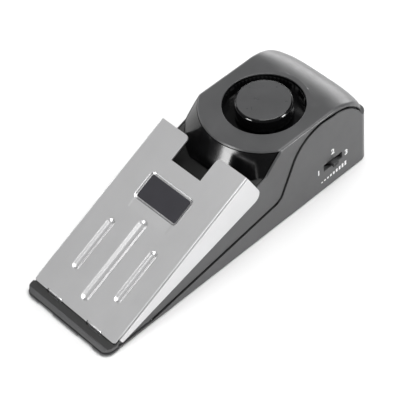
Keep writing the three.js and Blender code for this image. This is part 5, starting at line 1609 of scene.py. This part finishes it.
@dataclass
class Underside:
    """What the body stands on and opens by: grip pad, feet, battery door and case screws."""

    pad_edge: float = 0.35
    pad_corner: float = 3.0
    tread_pitch: float = 3.2
    tread_width: float = 1.2
    tread_depth: float = 0.35
    tread_margin: float = 2.0
    door_edge: float = 0.25
    door_sole: float = 0.5
    screw_head: float = 2.3
    screw_crown: float = 0.35
    screw_shank: float = 1.1
    screw_point: float = 0.2
    head_height: float = 1.2
    drive: Pair = (1.25, 0.36)
    drive_depth: float = 0.7
    screws: int = 4

    def pad(self) -> None:
        """Rubber pad with straight treads across it."""
        low, high = limits("grip_pad")
        pad = Solid.plan(rounded(low.x, high.x, low.y, high.y, self.pad_corner), low.z, high.z)
        pad.round_edges(self.pad_edge, lambda p: p.z < low.z + NEAR)
        count = int((high.y - low.y - 2 * self.tread_margin) / self.tread_pitch)
        start = (low.y + high.y - (count - 1) * self.tread_pitch) / 2
        length = -2 * (low.x + self.tread_margin)
        treads = [Solid.plan([(x, y) for y, x in capsule(start + i * self.tread_pitch, 0, self.tread_width,
                                                         length)],
                             low.z - PAST, low.z + self.tread_depth) for i in range(count)]
        pad.cut(*treads).piece("treaded_grip_pad", RUBBER, "pad_rubber", "grip_pad")

    def feet(self) -> None:
        """Two small rubber feet at the back."""
        for side in ("left", "right"):
            low, high = limits(f"rear_foot_{side}")
            foot = Solid.plan(capsule((low.x + high.x) / 2, (low.y + high.y) / 2, high.x - low.x,
                                      high.y - low.y), low.z, high.z)
            foot.round_edges(self.pad_edge, lambda p: p.z < low.z + NEAR)
            foot.piece(f"rubber_foot_{side}", RUBBER, "pad_rubber", f"rear_foot_{side}")

    def door(self) -> None:
        """Battery door with softened edges."""
        door = Solid.of_node("battery_door").tidied()
        low, high = limits("battery_door")
        door.round_edges(self.door_edge, lambda p: p.z < low.z + self.door_sole or p.y > high.y - NEAR, 2)
        door.piece("sliding_battery_door", CASE_GREY, "case_grey", "battery_door", body=Body.DOOR)

    def case_screws(self) -> None:
        """Cross head screws with crowned heads."""
        head, bend, shank = self.screw_head, self.screw_crown, self.screw_shank
        for number in range(1, self.screws + 1):
            low, high = limits(f"case_screw_{number}")
            x, y = (low.x + high.x) / 2, (low.y + high.y) / 2
            neck = low.z + self.head_height
            crown = arc(head - bend, low.z + bend, bend, 0, -QUARTER, SMALL_STEPS)
            screw = Solid.turned(x, y, [(0, low.z), *reversed(crown), (head, neck), (shank, neck),
                                        (shank, high.z - shank), (self.screw_point, high.z), (0, high.z)],
                                 SMALL_SEGMENTS)
            levels = (low.z - PAST, low.z + self.drive_depth)
            arms = [Solid.block((x - reach, x + reach), (y - half, y + half), levels)
                    for reach, half in (self.drive, self.drive[::-1])]
            screw.cut(*arms).piece(f"cross_head_screw_{number}", ZINC, "zinc_steel",
                                   f"case_screw_{number}")

    def build(self) -> None:
        """Make every piece of the underside."""
        self.pad()
        self.feet()
        self.door()
        self.case_screws()


@dataclass(frozen=True)
class SoftBox:
    """A soft light that hangs in one direction from the object and faces it.

    Its azimuth and elevation are in degrees, its distance and size in millimetres.
    """

    name: str
    azimuth: float
    elevation: float
    distance: float
    size: Pair
    power: float

    @staticmethod
    def heading(azimuth: float, elevation: float) -> Vector:
        """Direction from the object, from its azimuth and elevation in degrees."""
        turn, tilt = math.radians(azimuth), math.radians(elevation)
        return Vector((math.cos(turn) * math.cos(tilt), math.sin(turn) * math.cos(tilt), math.sin(tilt)))

    def hang(self) -> None:
        """Hang the light."""
        data = bpy.data.lights.new(self.name, "AREA")
        data.shape = "RECTANGLE"
        data.size, data.size_y = (span * MM for span in self.size)
        data.energy = self.power
        lamp = placed(self.name, data)
        away = self.heading(self.azimuth, self.elevation)
        lamp.location = away * self.distance * MM
        lamp.rotation_euler = away.to_track_quat("Z", "Y").to_euler()


@dataclass
class Studio:
    """Pale floor, soft lights and the camera at the photograph's angle."""

    azimuth: float = math.radians(50.22)
    elevation: float = math.radians(47.669)
    roll: float = math.radians(-5.259)
    distance: float = 748.3
    target: Triple = (0.0, 1.287, 18.97)
    shift: Pair = (-0.00134, -0.027)
    lens: float = 171.0
    sensor: float = 36.0
    near_clip: float = 0.05
    floor_size: float = 4000.0
    sky_glow: Pair = (0.09, 0.52)
    sky_band: Pair = (0.76, 0.97)
    sky_bright: Pair = (208, 56)
    lights: tuple[SoftBox, ...] = (
        SoftBox("key_panel", 38, 75, 1100, (880, 880), 12.5),
        SoftBox("front_top_panel", -62, 58, 1000, (500, 500), 0.4),
        SoftBox("back_panel", 126, 11, 800, (900, 320), 4.3),
        SoftBox("front_strip", -98, 15.5, 800, (260, 190), 2.7),
        SoftBox("edge_panel", 28, 17, 800, (180, 260), 2.9),
        SoftBox("left_strip", 184, 15, 800, (300, 240), 0.6),
    )

    def camera(self) -> None:
        """Stand the camera where the photograph was taken from."""
        data = bpy.data.cameras.new("photograph_camera")
        data.lens = self.lens
        data.sensor_width = self.sensor
        data.shift_x, data.shift_y = self.shift
        data.clip_start = self.near_clip
        camera = placed("photograph_camera", data)
        turn, tilt = self.azimuth, self.elevation
        back = Vector((math.sin(turn) * math.cos(tilt), -math.cos(turn) * math.cos(tilt), math.sin(tilt)))
        level = Vector((math.cos(turn), math.sin(turn), 0))
        right = math.cos(self.roll) * level + math.sin(self.roll) * back.cross(level)
        camera.matrix_world = Matrix((right, back.cross(right), back)).transposed().to_4x4()
        camera.matrix_world.translation = (Vector(self.target) + back * self.distance) * MM
        bpy.context.scene.camera = camera

    def floor(self) -> None:
        """Lay the pale floor."""
        mesh = bmesh.new()
        bmesh.ops.create_grid(mesh, x_segments=1, y_segments=1, size=self.floor_size * MM / 2)
        data = bpy.data.meshes.new("studio_floor")
        mesh.to_mesh(data)
        data.materials.append(PALE_FLOOR.material())
        floor = placed("studio_floor", data)

    def light(self) -> None:
        """Hang the soft lights and set the sky."""
        for box in self.lights:
            box.hang()
        sky = Tree(bpy.data.worlds.new("studio_sky"))
        nearness = sky.node("VectorMath", "Value", {0: sky.coordinates["Generated"],
                                                    1: SoftBox.heading(*self.sky_bright)},
                            operation="DOT_PRODUCT")
        (start, end), (low, high) = self.sky_band, self.sky_glow
        glow = sky.node("MapRange", "Result", {"Value": nearness, "From Min": start, "From Max": end,
                                               "To Min": low, "To Max": high},
                        interpolation_type="SMOOTHSTEP")
        background = sky.nodes["Background"].inputs
        background["Color"].default_value = (1, 1, 1, 1)
        sky.links.new(glow, background["Strength"])
        bpy.context.scene.world = sky.owner
        bpy.context.scene.view_settings.view_transform = "Standard"

    def build(self) -> None:
        """Set up the whole studio."""
        self.camera()
        self.floor()
        self.light()


def dress_inner_nodes() -> None:
    """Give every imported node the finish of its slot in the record."""
    for part in frame["record"]["subparts"]:
        node = frame["nodes"][part["node"]]
        node.data.materials.clear()
        node.data.materials.append(INNER_FINISHES[part["material_slot"]].material())


def main() -> None:
    """Build the studio and every sub-assembly."""
    logging.basicConfig(level=logging.INFO, format="%(name)s %(message)s")
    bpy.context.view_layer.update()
    Studio().build()
    dress_inner_nodes()
    for part in (UpperShells(), LowerShell(), PressurePlate(), ReturnSprings(), SirenCap(), SideSwitch(),
                 Underside()):
        part.build()


if __name__ == "__main__":
    main()
